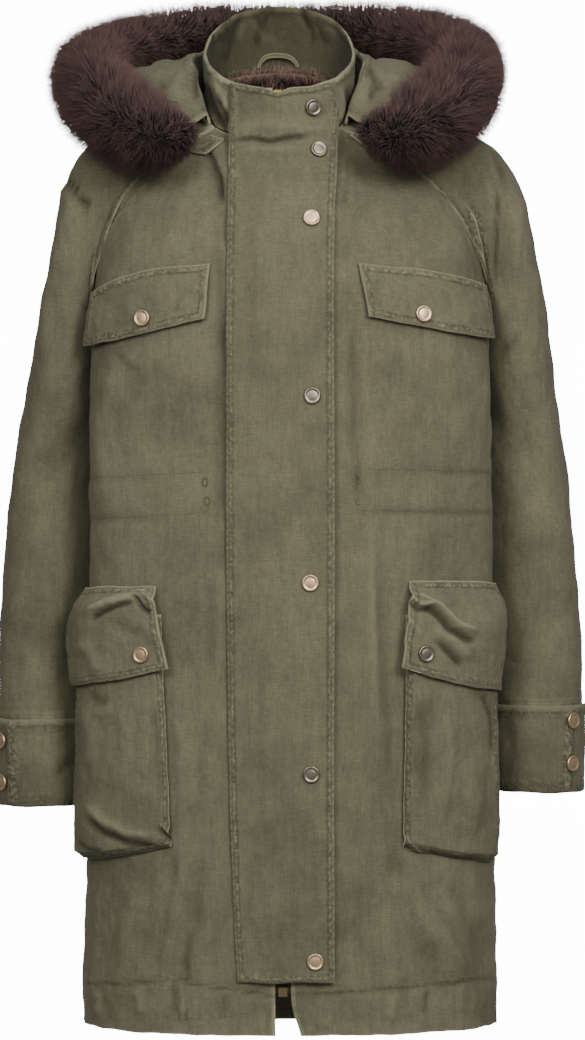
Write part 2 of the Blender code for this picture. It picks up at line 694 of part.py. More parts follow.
def add_pockets():
    for side, name in ((1.0, "left"), (-1.0, "right")):
        rows = patch_rows(side, CHEST_FLAPS[side], chest_lift, spread(0.0, 1.0, 8), spread(0.0, 1.0, 5))
        add_wall("chest_flap_" + name, rows, FLAP_CLOTH)
        rows = patch_rows(side, POCKETS[side], pocket_lift(side), POCKET_COLUMNS, POCKET_ROWS)
        add_wall("pocket_" + name, rows, POCKET_CLOTH)
        rows = patch_rows(side, POCKET_FLAPS[side], pocket_flap_lift(side),
                          spread(0.0, 1.0, 9), FLAP_ROWS)
        add_wall("pocket_flap_" + name, rows, FLAP_CLOTH)


# ---- Hood, fur and the inside of the neck

# The hood's cloth from the neck seam to the fur, folded down: for each direction round the neck, how far
# out from the seam and how high its crest, the pouch's inner wall, its lowest line, its rear wall and its
# edge under the fur lie
Hood = namedtuple("Hood", "angle crest crest_z inner inner_z low low_z rear rear_z edge edge_z")
HOOD = (
    Hood(54.0, 0.0075, 0.012, 0.012, 0.012, 0.018, 0.009, 0.024, 0.006, 0.030, 0.002),
    Hood(68.0, 0.0095, 0.034, 0.018, 0.033, 0.030, 0.026, 0.042, 0.020, 0.050, 0.015),
    Hood(84.0, 0.0105, 0.045, 0.022, 0.041, 0.037, 0.034, 0.053, 0.027, 0.062, 0.023),
    Hood(106.0, 0.0115, 0.044, 0.025, 0.039, 0.041, 0.034, 0.055, 0.030, 0.064, 0.028),
    Hood(128.0, 0.0150, 0.032, 0.044, -0.004, 0.078, -0.068, 0.104, -0.030, 0.080, -0.005),
    Hood(152.0, 0.0160, 0.022, 0.056, -0.058, 0.090, -0.142, 0.120, -0.080, 0.094, -0.004),
    Hood(180.0, 0.0160, 0.018, 0.060, -0.080, 0.094, -0.168, 0.126, -0.095, 0.090, -0.002),
)
HOOD_CLOTH = 0.0022
HOOD_ANGLES = (54.0, 62.0, 72.0, 86.0, 98.0, 110.0, 122.0, 134.0, 146.0, 157.0, 168.0, 180.0)
HOOD_START = 0.0046


def hood_profile(angle):
    """The hood's outside points from the neck seam to the fur, in one direction round the neck."""
    folded = angle if angle <= 180.0 else 360.0 - angle
    row = along_table(HOOD, Hood, folded)
    seam = surface(angle, NECK)
    away = outward(angle, NECK + 0.004)
    away = Vector((away.x, away.y, 0.0)).normalized()
    up = Vector((0.0, 0.0, 1.0))
    start = seam + away * HOOD_START + up * 0.0030
    steps = [(row.crest, row.crest_z), (row.inner, row.inner_z), (row.low, row.low_z),
             (row.rear, row.rear_z), (row.edge, row.edge_z)]
    knots = [start] + [seam + away * out + up * high for out, high in steps]
    slopes = [knots[1] - knots[0]]
    slopes += [(knots[i + 1] - knots[i - 1]) / 2.0 for i in range(1, len(knots) - 1)]
    slopes.append(knots[-1] - knots[-2])
    return [hermite(knots, slopes, step / 2.0) for step in range(2 * len(knots) - 1)]


def add_hood():
    angles = list(HOOD_ANGLES) + [360.0 - a for a in reversed(HOOD_ANGLES[:-1])]
    profiles = [hood_profile(angle) for angle in angles]
    rows = [list(row) for row in zip(*profiles)]
    add_wall("hood", rows, HOOD_CLOTH)


# The roll of fur round the hood's edge, from its end at the wearer's right front round the back
FurStation = namedtuple("FurStation", "x y z thick")
FUR = (
    FurStation(-0.104, -0.122, -0.022, 0.026),
    FurStation(-0.126, -0.131, -0.027, 0.040),
    FurStation(-0.162, -0.115, -0.014, 0.045),
    FurStation(-0.192, -0.078, 0.018, 0.045),
    FurStation(-0.202, -0.021, 0.050, 0.042),
    FurStation(-0.187, 0.040, 0.077, 0.038),
    FurStation(-0.148, 0.090, 0.093, 0.040),
    FurStation(-0.092, 0.121, 0.104, 0.040),
    FurStation(-0.010, 0.134, 0.104, 0.040),
    FurStation(0.072, 0.121, 0.106, 0.040),
    FurStation(0.130, 0.092, 0.099, 0.041),
    FurStation(0.170, 0.042, 0.083, 0.041),
    FurStation(0.186, -0.021, 0.056, 0.043),
    FurStation(0.177, -0.080, 0.020, 0.045),
    FurStation(0.149, -0.117, -0.012, 0.045),
    FurStation(0.112, -0.131, -0.025, 0.040),
    FurStation(0.090, -0.121, -0.019, 0.026),
)
FUR_AROUND = 14
FUR_STEPS = 2
FUR_TIP = 0.018
FUR_TIP_SHARE = 0.35
FUR_LOCK = 0.045


def fur_ring(middle, ahead, thick, step):
    """A ring of the fur roll round its middle line, a little uneven as the pile lies in locks."""
    across = ahead.cross(Vector((0.0, 0.0, 1.0))).normalized()
    up = across.cross(ahead).normalized()
    ring = []
    for i in range(FUR_AROUND):
        turn = 2.0 * math.pi * i / FUR_AROUND
        lock = 1.0 + FUR_LOCK * math.sin(3.0 * turn + 1.7 * step) * math.cos(0.9 * step + 2.0 * turn)
        ring.append(middle + (across * math.cos(turn) + up * math.sin(turn)) * thick * lock)
    return ring


def fur_cap(ring, middle, away):
    """The small ring that closes an end of the fur roll."""
    return [middle + away * FUR_TIP + (point - middle) * FUR_TIP_SHARE for point in ring]


def add_fur():
    knots = [Vector(station) for station in FUR]
    slopes = [knots[1] - knots[0]]
    slopes += [(knots[i + 1] - knots[i - 1]) / 2.0 for i in range(1, len(knots) - 1)]
    slopes.append(knots[-1] - knots[-2])
    count = (len(knots) - 1) * FUR_STEPS
    line = [hermite(knots, slopes, step / FUR_STEPS) for step in range(count + 1)]
    rings = []
    for i, here in enumerate(line):
        ahead = (line[min(i + 1, count)].xyz - line[max(i - 1, 0)].xyz).normalized()
        rings.append(fur_ring(here.xyz, ahead, here.w, i))
    start_away = (line[0].xyz - line[1].xyz).normalized()
    end_away = (line[-1].xyz - line[-2].xyz).normalized()
    start_cap = fur_cap(rings[0], line[0].xyz, start_away)
    end_cap = fur_cap(rings[-1], line[-1].xyz, end_away)
    add_piece("fur_trim", tube_mesh("fur_trim", [start_cap, *rings, end_cap]), "brown_fur")


def tube_mesh(name, rings):
    """A closed solid through rings of points, with flat ends."""
    mesh = bmesh.new()
    loops = [[mesh.verts.new(point) for point in ring] for ring in rings]
    wide = len(rings[0])
    for low, high in zip(loops, loops[1:]):
        for i in range(wide):
            mesh.faces.new((low[i], low[(i + 1) % wide], high[(i + 1) % wide], high[i]))
    mesh.faces.new(list(reversed(loops[0])))
    mesh.faces.new(loops[-1])
    bmesh.ops.recalc_face_normals(mesh, faces=mesh.faces)
    solid = bpy.data.meshes.new(name)
    mesh.to_mesh(solid)
    mesh.free()
    return solid


# The hood's front ends, which lie on the fronts just below the neck seam
HOOD_ENDS = {
    -1.0: Patch(33.0, -0.0250, 44.0, -0.0200, 35.5, -0.0400, 45.5, -0.0360, 0.0010, 0.0),
    1.0: Patch(47.0, -0.0200, 52.0, -0.0160, 46.0, -0.0400, 52.5, -0.0370, 0.0010, 0.0),
}


def add_hood_ends():
    for side, name in ((1.0, "left"), (-1.0, "right")):
        rows = patch_rows(side, HOOD_ENDS[side], lambda across, down: HOOD_CLOTH + 2.0 * CLEAR,
                          spread(0.0, 1.0, 4), spread(0.0, 1.0, 4))
        add_wall("hood_end_" + name, rows, HOOD_CLOTH)


LINING_PILE = 0.0060
LINING_OFF = 0.0045
LINING_ANGLES = (112.0, 122.0, 134.0, 146.0, 158.0, 170.0, 180.0, 190.0, 202.0, 214.0, 226.0, 238.0, 248.0)
LINING_LEVELS = (-0.082, -0.070, -0.056, -0.043, -0.031)


def add_lining():
    off = CLOTH + LINING_OFF
    rows = [[lifted(angle, level, -off) for angle in LINING_ANGLES] for level in LINING_LEVELS]
    add_wall("fur_lining", rows, LINING_PILE, finish="brown_fur")


LOOP_HALF = 0.0200
LOOP_RISE = 0.0095
LOOP_BAND = 0.0040
LOOP_CLOTH = 0.0014
LOOP_STAND = 0.0060
LOOP_FOOT_LEVEL = -0.0215
LOOP_COLUMNS = 11


def add_hanger_loop():
    rows = [[], []]
    for turn in spread(math.pi, 0.0, LOOP_COLUMNS):
        off = COLLAR_CLOTH + 2.0 * CLEAR + LOOP_STAND * math.sin(turn)
        for row, band in zip(rows, (LOOP_BAND, 0.0)):
            half, rise = LOOP_HALF - band, LOOP_RISE - band
            angle = 180.0 + math.degrees(half * math.cos(turn) / COLLAR[0].half)
            row.append(lifted(angle, LOOP_FOOT_LEVEL + rise * math.sin(turn), -off))
    add_wall("hanger_loop", rows, LOOP_CLOTH)


# ---- Zip

TAPE_WIDE = 0.0330
TAPE_THICK = 0.0008
CHAIN_WIDE = 0.0064
CHAIN_THICK = 0.0022
ZIP_END = -0.8830
CHAIN_PROUD = 0.0005
BOX = (0.0095, 0.0034, 0.0100)
METAL_EASE = 0.0005
# The slider has a bridge on its face, and the pull tab hangs from it by an eye
SLIDER = (0.0086, 0.0034, 0.0110)
SLIDER_LEVEL = 0.0200
SLIDER_PROUD = 0.0006
BRIDGE_WIDE = 0.0016
BRIDGE_TALL = 0.0044
BRIDGE_LONG = 0.0060
BRIDGE_BAR = 0.0009
BRIDGE_GAP = 0.0032
BRIDGE_GAP_UP = 0.0002
FACE_OFF = 0.00005
PIVOT_UP = 0.0020
TAB = (0.0060, 0.0012, 0.0210)
TAB_OFF = 0.0043
TAB_ABOVE = 0.0010
TAB_EYE = (0.0032, 0.0100, 0.0042)
TAB_EYE_TOP = -0.0004
ZIP_LEVELS = (*spread(ZIP_END, -0.10, 22), -0.070, -0.045, -0.025, -0.010, 0.005)
TAPE_TOP_LEVELS = (0.016, 0.0255)
BOX_UP = 0.0010


def behind_edge(level):
    """How far behind the outside of the fronts or the collar the zip's tape lies."""
    collar = smooth_step((level + 0.060) / 0.030)
    return CLOTH + (COLLAR_CLOTH - CLOTH + 0.0015) * collar + 0.0010


def zip_place(level, off_x, lift):
    """A place beside the zip's middle line."""
    return lifted(angle_at(zip_x(level) + off_x, level), level, lift)


def zip_frame(level, lift):
    """A place on the zip's middle line, with its axes: across, out of the coat and up the zip."""
    place = zip_place(level, 0.0, lift)
    up = zip_place(level + 0.004, 0.0, lift) - zip_place(level - 0.004, 0.0, lift)
    up = Vector((0.0, up.y, up.z)).normalized()
    across = Vector((1.0, 0.0, 0.0))
    return place, across, across.cross(up), up


def block_mesh(name, size, shift):
    """A block's mesh, its middle shifted from its own origin."""
    mesh = bmesh.new()
    bmesh.ops.create_cube(mesh, size=1.0)
    bmesh.ops.scale(mesh, vec=Vector(size), verts=mesh.verts)
    bmesh.ops.translate(mesh, vec=Vector(shift), verts=mesh.verts)
    solid = bpy.data.meshes.new(name)
    mesh.to_mesh(solid)
    mesh.free()
    return solid


def add_block(name, frame, size, shift=(0.0, 0.0, 0.0)):
    """A metal block with eased edges on the zip; its sizes run across, inwards and up."""
    place, across, out, up = frame
    piece = add_piece(name, block_mesh(name, size, shift), "gold_metal")
    piece.matrix_world = Matrix.Translation(place) @ Matrix((across, -out, up)).transposed().to_4x4()
    ease = piece.modifiers.new("eased_edges", "BEVEL")
    ease.width = METAL_EASE
    ease.segments = 1
    return piece


def shape_with(piece, operation, size, shift):
    """Adds a block to a piece or cuts it from the piece, both in the piece's own frame."""
    tool = bpy.data.objects.new(piece.name + "_tool", block_mesh(piece.name + "_tool", size, shift))
    bpy.data.collections[TOOLS].objects.link(tool)
    tool.matrix_world = piece.matrix_world
    tool.hide_render = True
    tool.display_type = "WIRE"
    step = piece.modifiers.new(operation.lower(), "BOOLEAN")
    step.operation = operation
    step.solver = "EXACT"
    step.object = tool


def add_zip():
    half = TAPE_WIDE / 2.0
    rows = [[zip_place(level, off, -behind_edge(level)) for off in spread(-half, half, 4)]
            for level in (*ZIP_LEVELS, *TAPE_TOP_LEVELS)]
    add_wall("zip_tape", rows, TAPE_THICK, finish="olive_tape")
    half = CHAIN_WIDE / 2.0
    rows = [[zip_place(level, off, CHAIN_PROUD) for off in (-half, 0.0, half)] for level in ZIP_LEVELS[1:]]
    add_wall("zip_chain", rows, CHAIN_THICK, finish="gold_metal")
    add_block("zip_box", zip_frame(ZIP_END + BOX_UP, 0.0), BOX)
    slider = add_block("zip_slider", zip_frame(SLIDER_LEVEL, SLIDER_PROUD), SLIDER)
    face = -SLIDER[1] / 2.0
    shape_with(slider, "UNION", (BRIDGE_WIDE, BRIDGE_TALL, BRIDGE_LONG),
               (0.0, face - BRIDGE_TALL / 2.0, PIVOT_UP))
    inner = BRIDGE_TALL - BRIDGE_BAR
    shape_with(slider, "DIFFERENCE", (2.0 * BRIDGE_WIDE, inner, BRIDGE_GAP),
               (0.0, face - FACE_OFF - inner / 2.0, PIVOT_UP + BRIDGE_GAP_UP))
    pull = add_block("zip_pull", zip_frame(SLIDER_LEVEL + PIVOT_UP, TAB_OFF), TAB,
                     shift=(0.0, 0.0, TAB_ABOVE - TAB[2] / 2.0))
    shape_with(pull, "DIFFERENCE", TAB_EYE, (0.0, 0.0, TAB_EYE_TOP - TAB_EYE[2] / 2.0))


# ---- Snaps

SNAP_WIDE = 0.0085
SNAP_TOP = 0.0076
SNAP_THICK = 0.0026
SNAP_SIDES = 14
TILT_STEP = 0.01
# Where the storm flap's snaps lie, top to bottom
SnapPlace = namedtuple("SnapPlace", "x level")
FLAP_SNAPS = (
    SnapPlace(0.0245, 0.0058),
    SnapPlace(0.0315, -0.0400),
    SnapPlace(0.0262, -0.1090),
    SnapPlace(0.0270, -0.2860),
    SnapPlace(0.0250, -0.4730),
    SnapPlace(0.0260, -0.6640),
    SnapPlace(0.0300, -0.8510),
)
CHEST_SNAPS = {-1.0: (0.39, 0.76), 1.0: (0.33, 0.78)}
POCKET_SNAPS = {-1.0: (0.17, 0.78), 1.0: (0.16, 0.78)}
CUFF_SNAPS = {-1.0: (0.120, -0.6370, -0.6800), 1.0: (0.150, -0.6300, -0.6740)}


def add_snap(name, place, out):
    """A press stud's cap, lying on the cloth at a place."""
    mesh = bmesh.new()
    bmesh.ops.create_cone(mesh, cap_ends=True, cap_tris=False, segments=SNAP_SIDES,
                          radius1=SNAP_WIDE, radius2=SNAP_TOP, depth=SNAP_THICK)
    solid = bpy.data.meshes.new(name)
    mesh.to_mesh(solid)
    mesh.free()
    snap = add_piece(name, solid, "pale_metal")
    snap.matrix_world = Matrix.Translation(place + out * (SNAP_THICK / 2.0 + CLEAR)) @ \
        out.to_track_quat("Z", "Y").to_matrix().to_4x4()


def tilt_of(place_at, first, second):
    """The outward direction of a surface of two numbers at a place."""
    one = place_at(first + TILT_STEP, second) - place_at(first - TILT_STEP, second)
    other = place_at(first, second + TILT_STEP) - place_at(first, second - TILT_STEP)
    out = one.cross(other).normalized()
    return -out if out.y > 0.0 else out


def add_snaps():
    for number, snap in enumerate(FLAP_SNAPS, 1):
        out = tilt_of(on_flap, snap.x, snap.level)
        add_snap(f"flap_snap_{number}", on_flap(snap.x, snap.level), out)
    for side, name in ((1.0, "left"), (-1.0, "right")):
        for kind, patches, places, lift in (
                ("chest_snap_", CHEST_FLAPS, CHEST_SNAPS, chest_lift),
                ("pocket_snap_", POCKET_FLAPS, POCKET_SNAPS, pocket_flap_lift(side))):
            def place_at(across, down):
                return on_patch(side, patches[side], across, down, lift(across, down))
            across, down = places[side]
            add_snap(kind + name, place_at(across, down), tilt_of(place_at, across, down))
        share, upper, lower = CUFF_SNAPS[side]
        for number, level in ((1, upper), (2, lower)):
            place = cuff_point(side, share, level, CUFF_LAP)
            ring = cuff_ring(level)
            middle = ring_point(side, ring, 0.0).lerp(ring_point(side, ring, 0.5), 0.5)
            along = cuff_point(side, share + 0.02, level, 0.0) - cuff_point(side, share - 0.02, level, 0.0)
            out = along.cross(Vector((0.0, 0.0, 1.0))).normalized()
            out = out if out.dot(place - middle) > 0.0 else -out
            add_snap(f"cuff_snap_{name}_{number}", place, out)


def main():
    clear_scene()
    add_fronts_and_back()
    add_sleeves()
    add_cuffs()
    add_collar()
    add_storm_flap()
    add_pockets()
    add_hood()
    add_hood_ends()
    add_fur()
    add_lining()
    add_hanger_loop()
    add_zip()
    add_snaps()


main()
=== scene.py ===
"""Looks of the fur trimmed parka: cloth shells with their folds, topstitching, fur, press studs and the zip."""
import math
from collections import namedtuple

import bmesh
import bpy
import numpy as np
from mathutils import Matrix, Vector, noise
from mathutils.bvhtree import BVHTree
from mathutils.kdtree import KDTree


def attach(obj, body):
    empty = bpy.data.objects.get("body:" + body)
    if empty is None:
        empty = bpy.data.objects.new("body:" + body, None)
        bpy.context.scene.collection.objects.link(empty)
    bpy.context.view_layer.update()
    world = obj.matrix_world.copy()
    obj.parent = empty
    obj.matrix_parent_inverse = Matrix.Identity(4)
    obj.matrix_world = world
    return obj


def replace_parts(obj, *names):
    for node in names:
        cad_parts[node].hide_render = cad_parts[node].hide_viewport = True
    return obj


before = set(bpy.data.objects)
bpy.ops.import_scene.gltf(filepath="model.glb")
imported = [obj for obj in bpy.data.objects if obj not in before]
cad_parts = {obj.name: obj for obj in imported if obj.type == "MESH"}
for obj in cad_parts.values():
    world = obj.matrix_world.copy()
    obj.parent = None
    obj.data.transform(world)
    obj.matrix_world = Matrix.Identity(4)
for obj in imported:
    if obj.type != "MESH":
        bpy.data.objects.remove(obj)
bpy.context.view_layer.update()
COAT = "coat"

# ---- The view: a place on the coat is given as across and down in the camera's 585 x 1040 frame, where one
# unit is 1 mm on the coat's front. Places on the back are given in the same way, as if the coat were clear.
VIEW_WIDE, VIEW_TALL = 585.0, 1040.0
VIEW_POINT = Vector((0.0075, -4.0, -0.41))
VIEW_REACH = 3.86


def in_view(points, behind=False):
    """Where points lie in the view, as an array of across and down."""
    side = -1.0 if behind else 1.0
    deep = (points[:, 1] - VIEW_POINT.y * side) * side
    across = VIEW_WIDE / 2.0 + (points[:, 0] - VIEW_POINT.x) / deep * VIEW_REACH * 1000.0
    down = VIEW_TALL / 2.0 - (points[:, 2] - VIEW_POINT.z) / deep * VIEW_REACH * 1000.0
    return np.column_stack((across, down))


def sight(across, down, behind=False):
    """The start and direction of the line of sight through a place in the view."""
    side = -1.0 if behind else 1.0
    start = Vector((VIEW_POINT.x, VIEW_POINT.y * side, VIEW_POINT.z))
    reach = Vector(((across - VIEW_WIDE / 2.0) / 1000.0, VIEW_REACH * side, (VIEW_TALL / 2.0 - down) / 1000.0))
    return start, reach.normalized()


# ---- Small helpers

def smooth(value):
    """An eased step from 0 to 1."""
    value = np.clip(value, 0.0, 1.0)
    return value * value * (3.0 - 2.0 * value)


def bell(value):
    """1 at 0, and falling softly away on both sides of it."""
    return np.exp(-(value ** 2))


def unit(vectors):
    return vectors / np.maximum(np.linalg.norm(vectors, axis=1), 1e-9)[:, None]


def read(mesh):
    """A mesh's points as an array."""
    spots = np.zeros(len(mesh.vertices) * 3)
    mesh.vertices.foreach_get("co", spots)
    return spots.reshape(-1, 3)


def set_number(mesh, name, values):
    """Stores a number at each of a mesh's points."""
    layer = mesh.attributes.new(name, "FLOAT", "POINT")
    layer.data.foreach_set("value", np.asarray(values, np.float32))


def set_direction(mesh, name, vectors):
    """Stores a direction at each of a mesh's points."""
    layer = mesh.attributes.new(name, "FLOAT_VECTOR", "POINT")
    layer.data.foreach_set("vector", np.asarray(vectors, np.float32).ravel())


def in_scene(name, data):
    """A new object of some data, linked into the scene."""
    thing = bpy.data.objects.new(name, data)
    bpy.context.scene.collection.objects.link(thing)
    return thing


def as_mesh(name, form, shaded=True):
    """A mesh of a form that was built face by face, smooth shaded or left as it is."""
    mesh = bpy.data.meshes.new(name)
    form.to_mesh(mesh)
    form.free()
    if shaded:
        mesh.shade_smooth()
    return mesh


def turns(count):
    """Evenly spaced angles round a circle."""
    return [2.0 * math.pi * i / count for i in range(count)]


def lofted(name, rings, looped=False):
    """A closed mesh of rings of places, joined from one to the next. A ring of one place is a point. Unless the
    rings loop, the first and last are closed."""
    form = bmesh.new()
    wide = max(len(ring) for ring in rings)
    made = [[form.verts.new(place) for place in ring] * (wide // len(ring)) for ring in rings]
    for low, high in zip(made, made[1:] + made[:1] * looped):
        for i in range(wide):
            j = (i + 1) % wide
            form.faces.new(list(dict.fromkeys((low[i], low[j], high[j], high[i]))))
    for ring, places in ((made[0], rings[0]), (made[-1], rings[-1])):
        if len(places) > 1 and not looped:
            form.faces.new(ring)
    bmesh.ops.recalc_face_normals(form, faces=form.faces)
    return as_mesh(name, form)


def steps_along(line, step, first):
    """Places and directions at even steps along a line, the first of them a share of a step in."""
    lengths = [(b - a).length for a, b in zip(line, line[1:])]
    before, span = 0.0, 0
    for i in range(int(sum(lengths) / step)):
        at = (i + first) * step
        while span < len(lengths) - 1 and before + lengths[span] < at:
            before += lengths[span]
            span += 1
        if lengths[span] > 1e-6:
            run = (line[span + 1] - line[span]).normalized()
            yield line[span] + run * (at - before), run


def taken_from(holder, name):
    """The plain mesh that an object's modifiers make of it. The object goes."""
    mesh = bpy.data.meshes.new_from_object(holder.evaluated_get(bpy.context.evaluated_depsgraph_get()))
    bpy.data.objects.remove(holder)
    mesh.name = name
    return mesh


def finished(name, mesh, material, body=COAT):
    """Makes an object of a mesh, gives it its material and sets it on its body."""
    mesh.materials.clear()
    mesh.materials.append(material)
    piece = in_scene(name, mesh)
    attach(piece, body)
    return piece


# ---- Materials

def linear(code):
    """A colour given as an sRGB hex code, made linear."""
    parts = [int(code[i:i + 2], 16) / 255.0 for i in (1, 3, 5)]
    return [p / 12.92 if p <= 0.04045 else ((p + 0.055) / 1.055) ** 2.4 for p in parts] + [1.0]


def link(tree, node, links):
    """Links sources into a node's sockets. A node stands for its first output."""
    for socket, source in dict(links).items():
        tree.links.new(getattr(source, "outputs", [source])[0], node.inputs[socket])


def add(tree, kind, links=(), values=(), **settings):
    """Adds a node with its settings, its sockets' values, and links into its sockets."""
    node = tree.nodes.new(kind)
    for key, value in settings.items():
        setattr(node, key, value)
    for socket, value in dict(values).items():
        node.inputs[socket].default_value = value
    link(tree, node, links)
    return node


def new_material(name, look):
    """A material, its tree and its shader, with the look's values on the shader's sockets."""
    material = bpy.data.materials.new(name)
    material.use_nodes = True
    shader = material.node_tree.nodes["Principled BSDF"]
    for socket, value in look.items():
        shader.inputs[socket].default_value = value
    return material, material.node_tree, shader


def ramp(tree, source, stops):
    """A colour ramp with stops of place and colour."""
    node = add(tree, "ShaderNodeValToRGB", {0: source})
    line = node.color_ramp
    while len(line.elements) < len(stops):
        line.elements.new(0.5)
    for element, (place, colour) in zip(line.elements, stops):
        element.position = place
        element.color = colour
    return node


# What painted shade multiplies the cloth's colour by
PAINTED_SHADE_COLOUR = linear("#8f8f88")
# Streaks and slubs: how many to a metre across the coat, deep and up, and how much they show
SLUBS = (((150.0, 150.0, 22.0), 0.35), ((900.0, 900.0, 70.0), 0.55), ((160.0, 160.0, 900.0), 0.55),
         ((1100.0, 1100.0, 1100.0), 0.40))
# The crumple of washed cloth: how many waves to a metre, and how far they rise, in metres
CRUMPLE_WAVES = ((34.0, 0.0040), (85.0, 0.0016))


def twill(name, low, base, high, pale, weave=0.10):
    """Cotton twill, piece dyed and washed after sewing: matt, mottled and streaked along its threads, painted with
    shade in folds, beside seams and inside, pale on edges with wear and painted highlight, and painted highlight on
    fold crests."""
    material, tree, shader = new_material(name, {"Roughness": 0.90, "Specular IOR Level": 0.15, "Sheen Weight": 0.04,
                                                 "Sheen Roughness": 0.6})
    place = add(tree, "ShaderNodeTexCoord").outputs["Object"]

    def mark(attribute, share):
        seen = add(tree, "ShaderNodeAttribute", attribute_name=attribute).outputs["Fac"]
        return add(tree, "ShaderNodeMath", {0: seen}, {1: share}, operation="MULTIPLY")

    def stained(colour, amount, stain, blend):
        return add(tree, "ShaderNodeMix", {0: amount, 6: colour}, {7: stain}, data_type="RGBA",
                   blend_type=blend).outputs[2]

    cloud = add(tree, "ShaderNodeTexNoise", {"Vector": place},
                {"Scale": 9.0, "Detail": 4.0, "Roughness": 0.62})
    colour = ramp(tree, cloud, [(0.24, linear(low)), (0.48, linear(base)), (0.80, linear(high))])
    for stretch, share in SLUBS:
        lay = add(tree, "ShaderNodeMapping", {"Vector": place}, {"Scale": stretch}).outputs["Vector"]
        slub = add(tree, "ShaderNodeTexNoise", {"Vector": lay}, {"Scale": 1.0, "Detail": 1.0})
        tone = ramp(tree, slub, [(0.30, (0.80, 0.80, 0.80, 1.0)), (0.70, (1.16, 1.16, 1.16, 1.0))])
        colour = add(tree, "ShaderNodeMix", {6: colour, 7: tone}, {0: share},
                     data_type="RGBA", blend_type="MULTIPLY").outputs[2]
    # puckers along a seam, about 4 mm apart, pale on top with wear and painted highlight, and painted shade between
    seam = add(tree, "ShaderNodeAttribute", attribute_name="seam").outputs["Fac"]
    pucker = add(tree, "ShaderNodeTexNoise", {"Vector": place}, {"Scale": 250.0, "Detail": 1.0})
    bright = add(tree, "ShaderNodeMapRange", {0: pucker}, {1: 0.46, 2: 0.70, 3: 0.0, 4: 0.34})
    shade = add(tree, "ShaderNodeMapRange", {0: pucker}, {1: 0.30, 2: 0.48, 3: 0.34, 4: 0.0})
    for level, stain, blend in ((bright, linear(pale), "MIX"), (shade, PAINTED_SHADE_COLOUR, "MULTIPLY")):
        amount = add(tree, "ShaderNodeMath", {0: seam, 1: level}, operation="MULTIPLY")
        colour = stained(colour, amount, stain, blend)
    # painted highlight on fold crests, the pale of edges as wear and painted highlight, and painted shade in
    # troughs, along shaded stitched lines and inside the cloth
    colour = stained(colour, mark("crest", 0.30), linear(pale), "MIX")
    colour = stained(colour, mark("edge", 0.70), linear(pale), "MIX")
    colour = stained(colour, mark("painted_shade", 0.85), PAINTED_SHADE_COLOUR, "MULTIPLY")
    # the weave, the puckers and the crumple
    grain = add(tree, "ShaderNodeTexNoise", {"Vector": place}, {"Scale": 900.0, "Detail": 2.0})
    bump = add(tree, "ShaderNodeBump", {"Height": grain}, {"Strength": weave, "Distance": 0.0012})
    raised = add(tree, "ShaderNodeMath", {0: seam, 1: pucker}, operation="MULTIPLY")
    bump = add(tree, "ShaderNodeBump", {"Height": raised, "Normal": bump},
               {"Strength": 0.8, "Distance": 0.0030})
    for scale, rise in CRUMPLE_WAVES:
        soft = add(tree, "ShaderNodeTexNoise", {"Vector": place}, {"Scale": scale, "Detail": 2.0})
        bump = add(tree, "ShaderNodeBump", {"Height": soft, "Normal": bump},
                   {"Strength": 0.55, "Distance": rise})
    link(tree, shader, {"Base Color": colour, "Normal": bump})
    return material


def thread(name, colour, other):
    """Polyester sewing thread, tonal, with a faint sheen."""
    material, tree, shader = new_material(name, {"Roughness": 0.6, "Specular IOR Level": 0.3})
    place = add(tree, "ShaderNodeTexCoord").outputs["Object"]
    fade = add(tree, "ShaderNodeTexNoise", {"Vector": place}, {"Scale": 25.0, "Detail": 2.0})
    link(tree, shader, {"Base Color": ramp(tree, fade, [(0.3, linear(colour)), (0.7, linear(other))])})
    return material


def pile(name, root, middle, tip):
    """Long dyed fur: nearly black at the root, brown along the hair and warmer at the tips, each lock its own
    shade."""
    material, tree, shader = new_material(name, {"Roughness": 0.55, "Specular IOR Level": 0.25,
                                                 "Sheen Weight": 0.04})
    along = add(tree, "ShaderNodeAttribute", attribute_name="along").outputs["Fac"]
    tone = add(tree, "ShaderNodeAttribute", attribute_name="tone").outputs["Fac"]
    hair = ramp(tree, along, [(0.0, linear(root)), (0.55, linear(middle)), (1.0, linear(tip))])
    shade = add(tree, "ShaderNodeMapRange", {0: tone}, {3: 0.55, 4: 1.45})
    colour = add(tree, "ShaderNodeMix", {6: hair, 7: shade}, {0: 1.0}, data_type="RGBA",
                 blend_type="MULTIPLY").outputs[2]
    link(tree, shader, {"Base Color": colour})
    return material


def metal(name, colour, roughness):
    """Plated zinc, buffed, with the faint haze and fine scratches of wear."""
    material, tree, shader = new_material(name, {"Roughness": roughness, "Metallic": 1.0,
                                                 "Base Color": linear(colour)})
    place = add(tree, "ShaderNodeTexCoord").outputs["Object"]
    haze = add(tree, "ShaderNodeTexNoise", {"Vector": place}, {"Scale": 260.0, "Detail": 3.0})
    rough = add(tree, "ShaderNodeMapRange", {0: haze}, {3: roughness * 0.7, 4: roughness * 1.4})
    bump = add(tree, "ShaderNodeBump", {"Height": haze}, {"Strength": 0.02, "Distance": 0.0005})
    link(tree, shader, {"Roughness": rough, "Normal": bump})
    return material


TWILL = twill("washed_cotton_twill", "#4f4d3d", "#605d49", "#6b6853", "#9d997b")
THREAD = thread("tonal_thread", "#48452f", "#605c44")
FUR = pile("long_brown_fur", "#221917", "#382a29", "#664a42")
LINING = pile("brown_fur_lining", "#2e201d", "#5f4741", "#8d6b5f")
STUD = metal("pale_gold_plate", "#c4a988", 0.37)
# A darker copy of the plate: painted dark reflection for the studs that mirror dark surroundings
STUD_DARK_REFLECTION = metal("plate_painted_dark_reflection", "#82776a", 0.33)
BRASS = metal("polished_zip_brass", "#d9b978", 0.22)
OLD_BRASS = metal("dulled_zip_brass", "#77694c", 0.38)
TAPE = twill("woven_zip_tape", "#3d3a2c", "#4a4635", "#55503d", "#5c5743", 0.2)
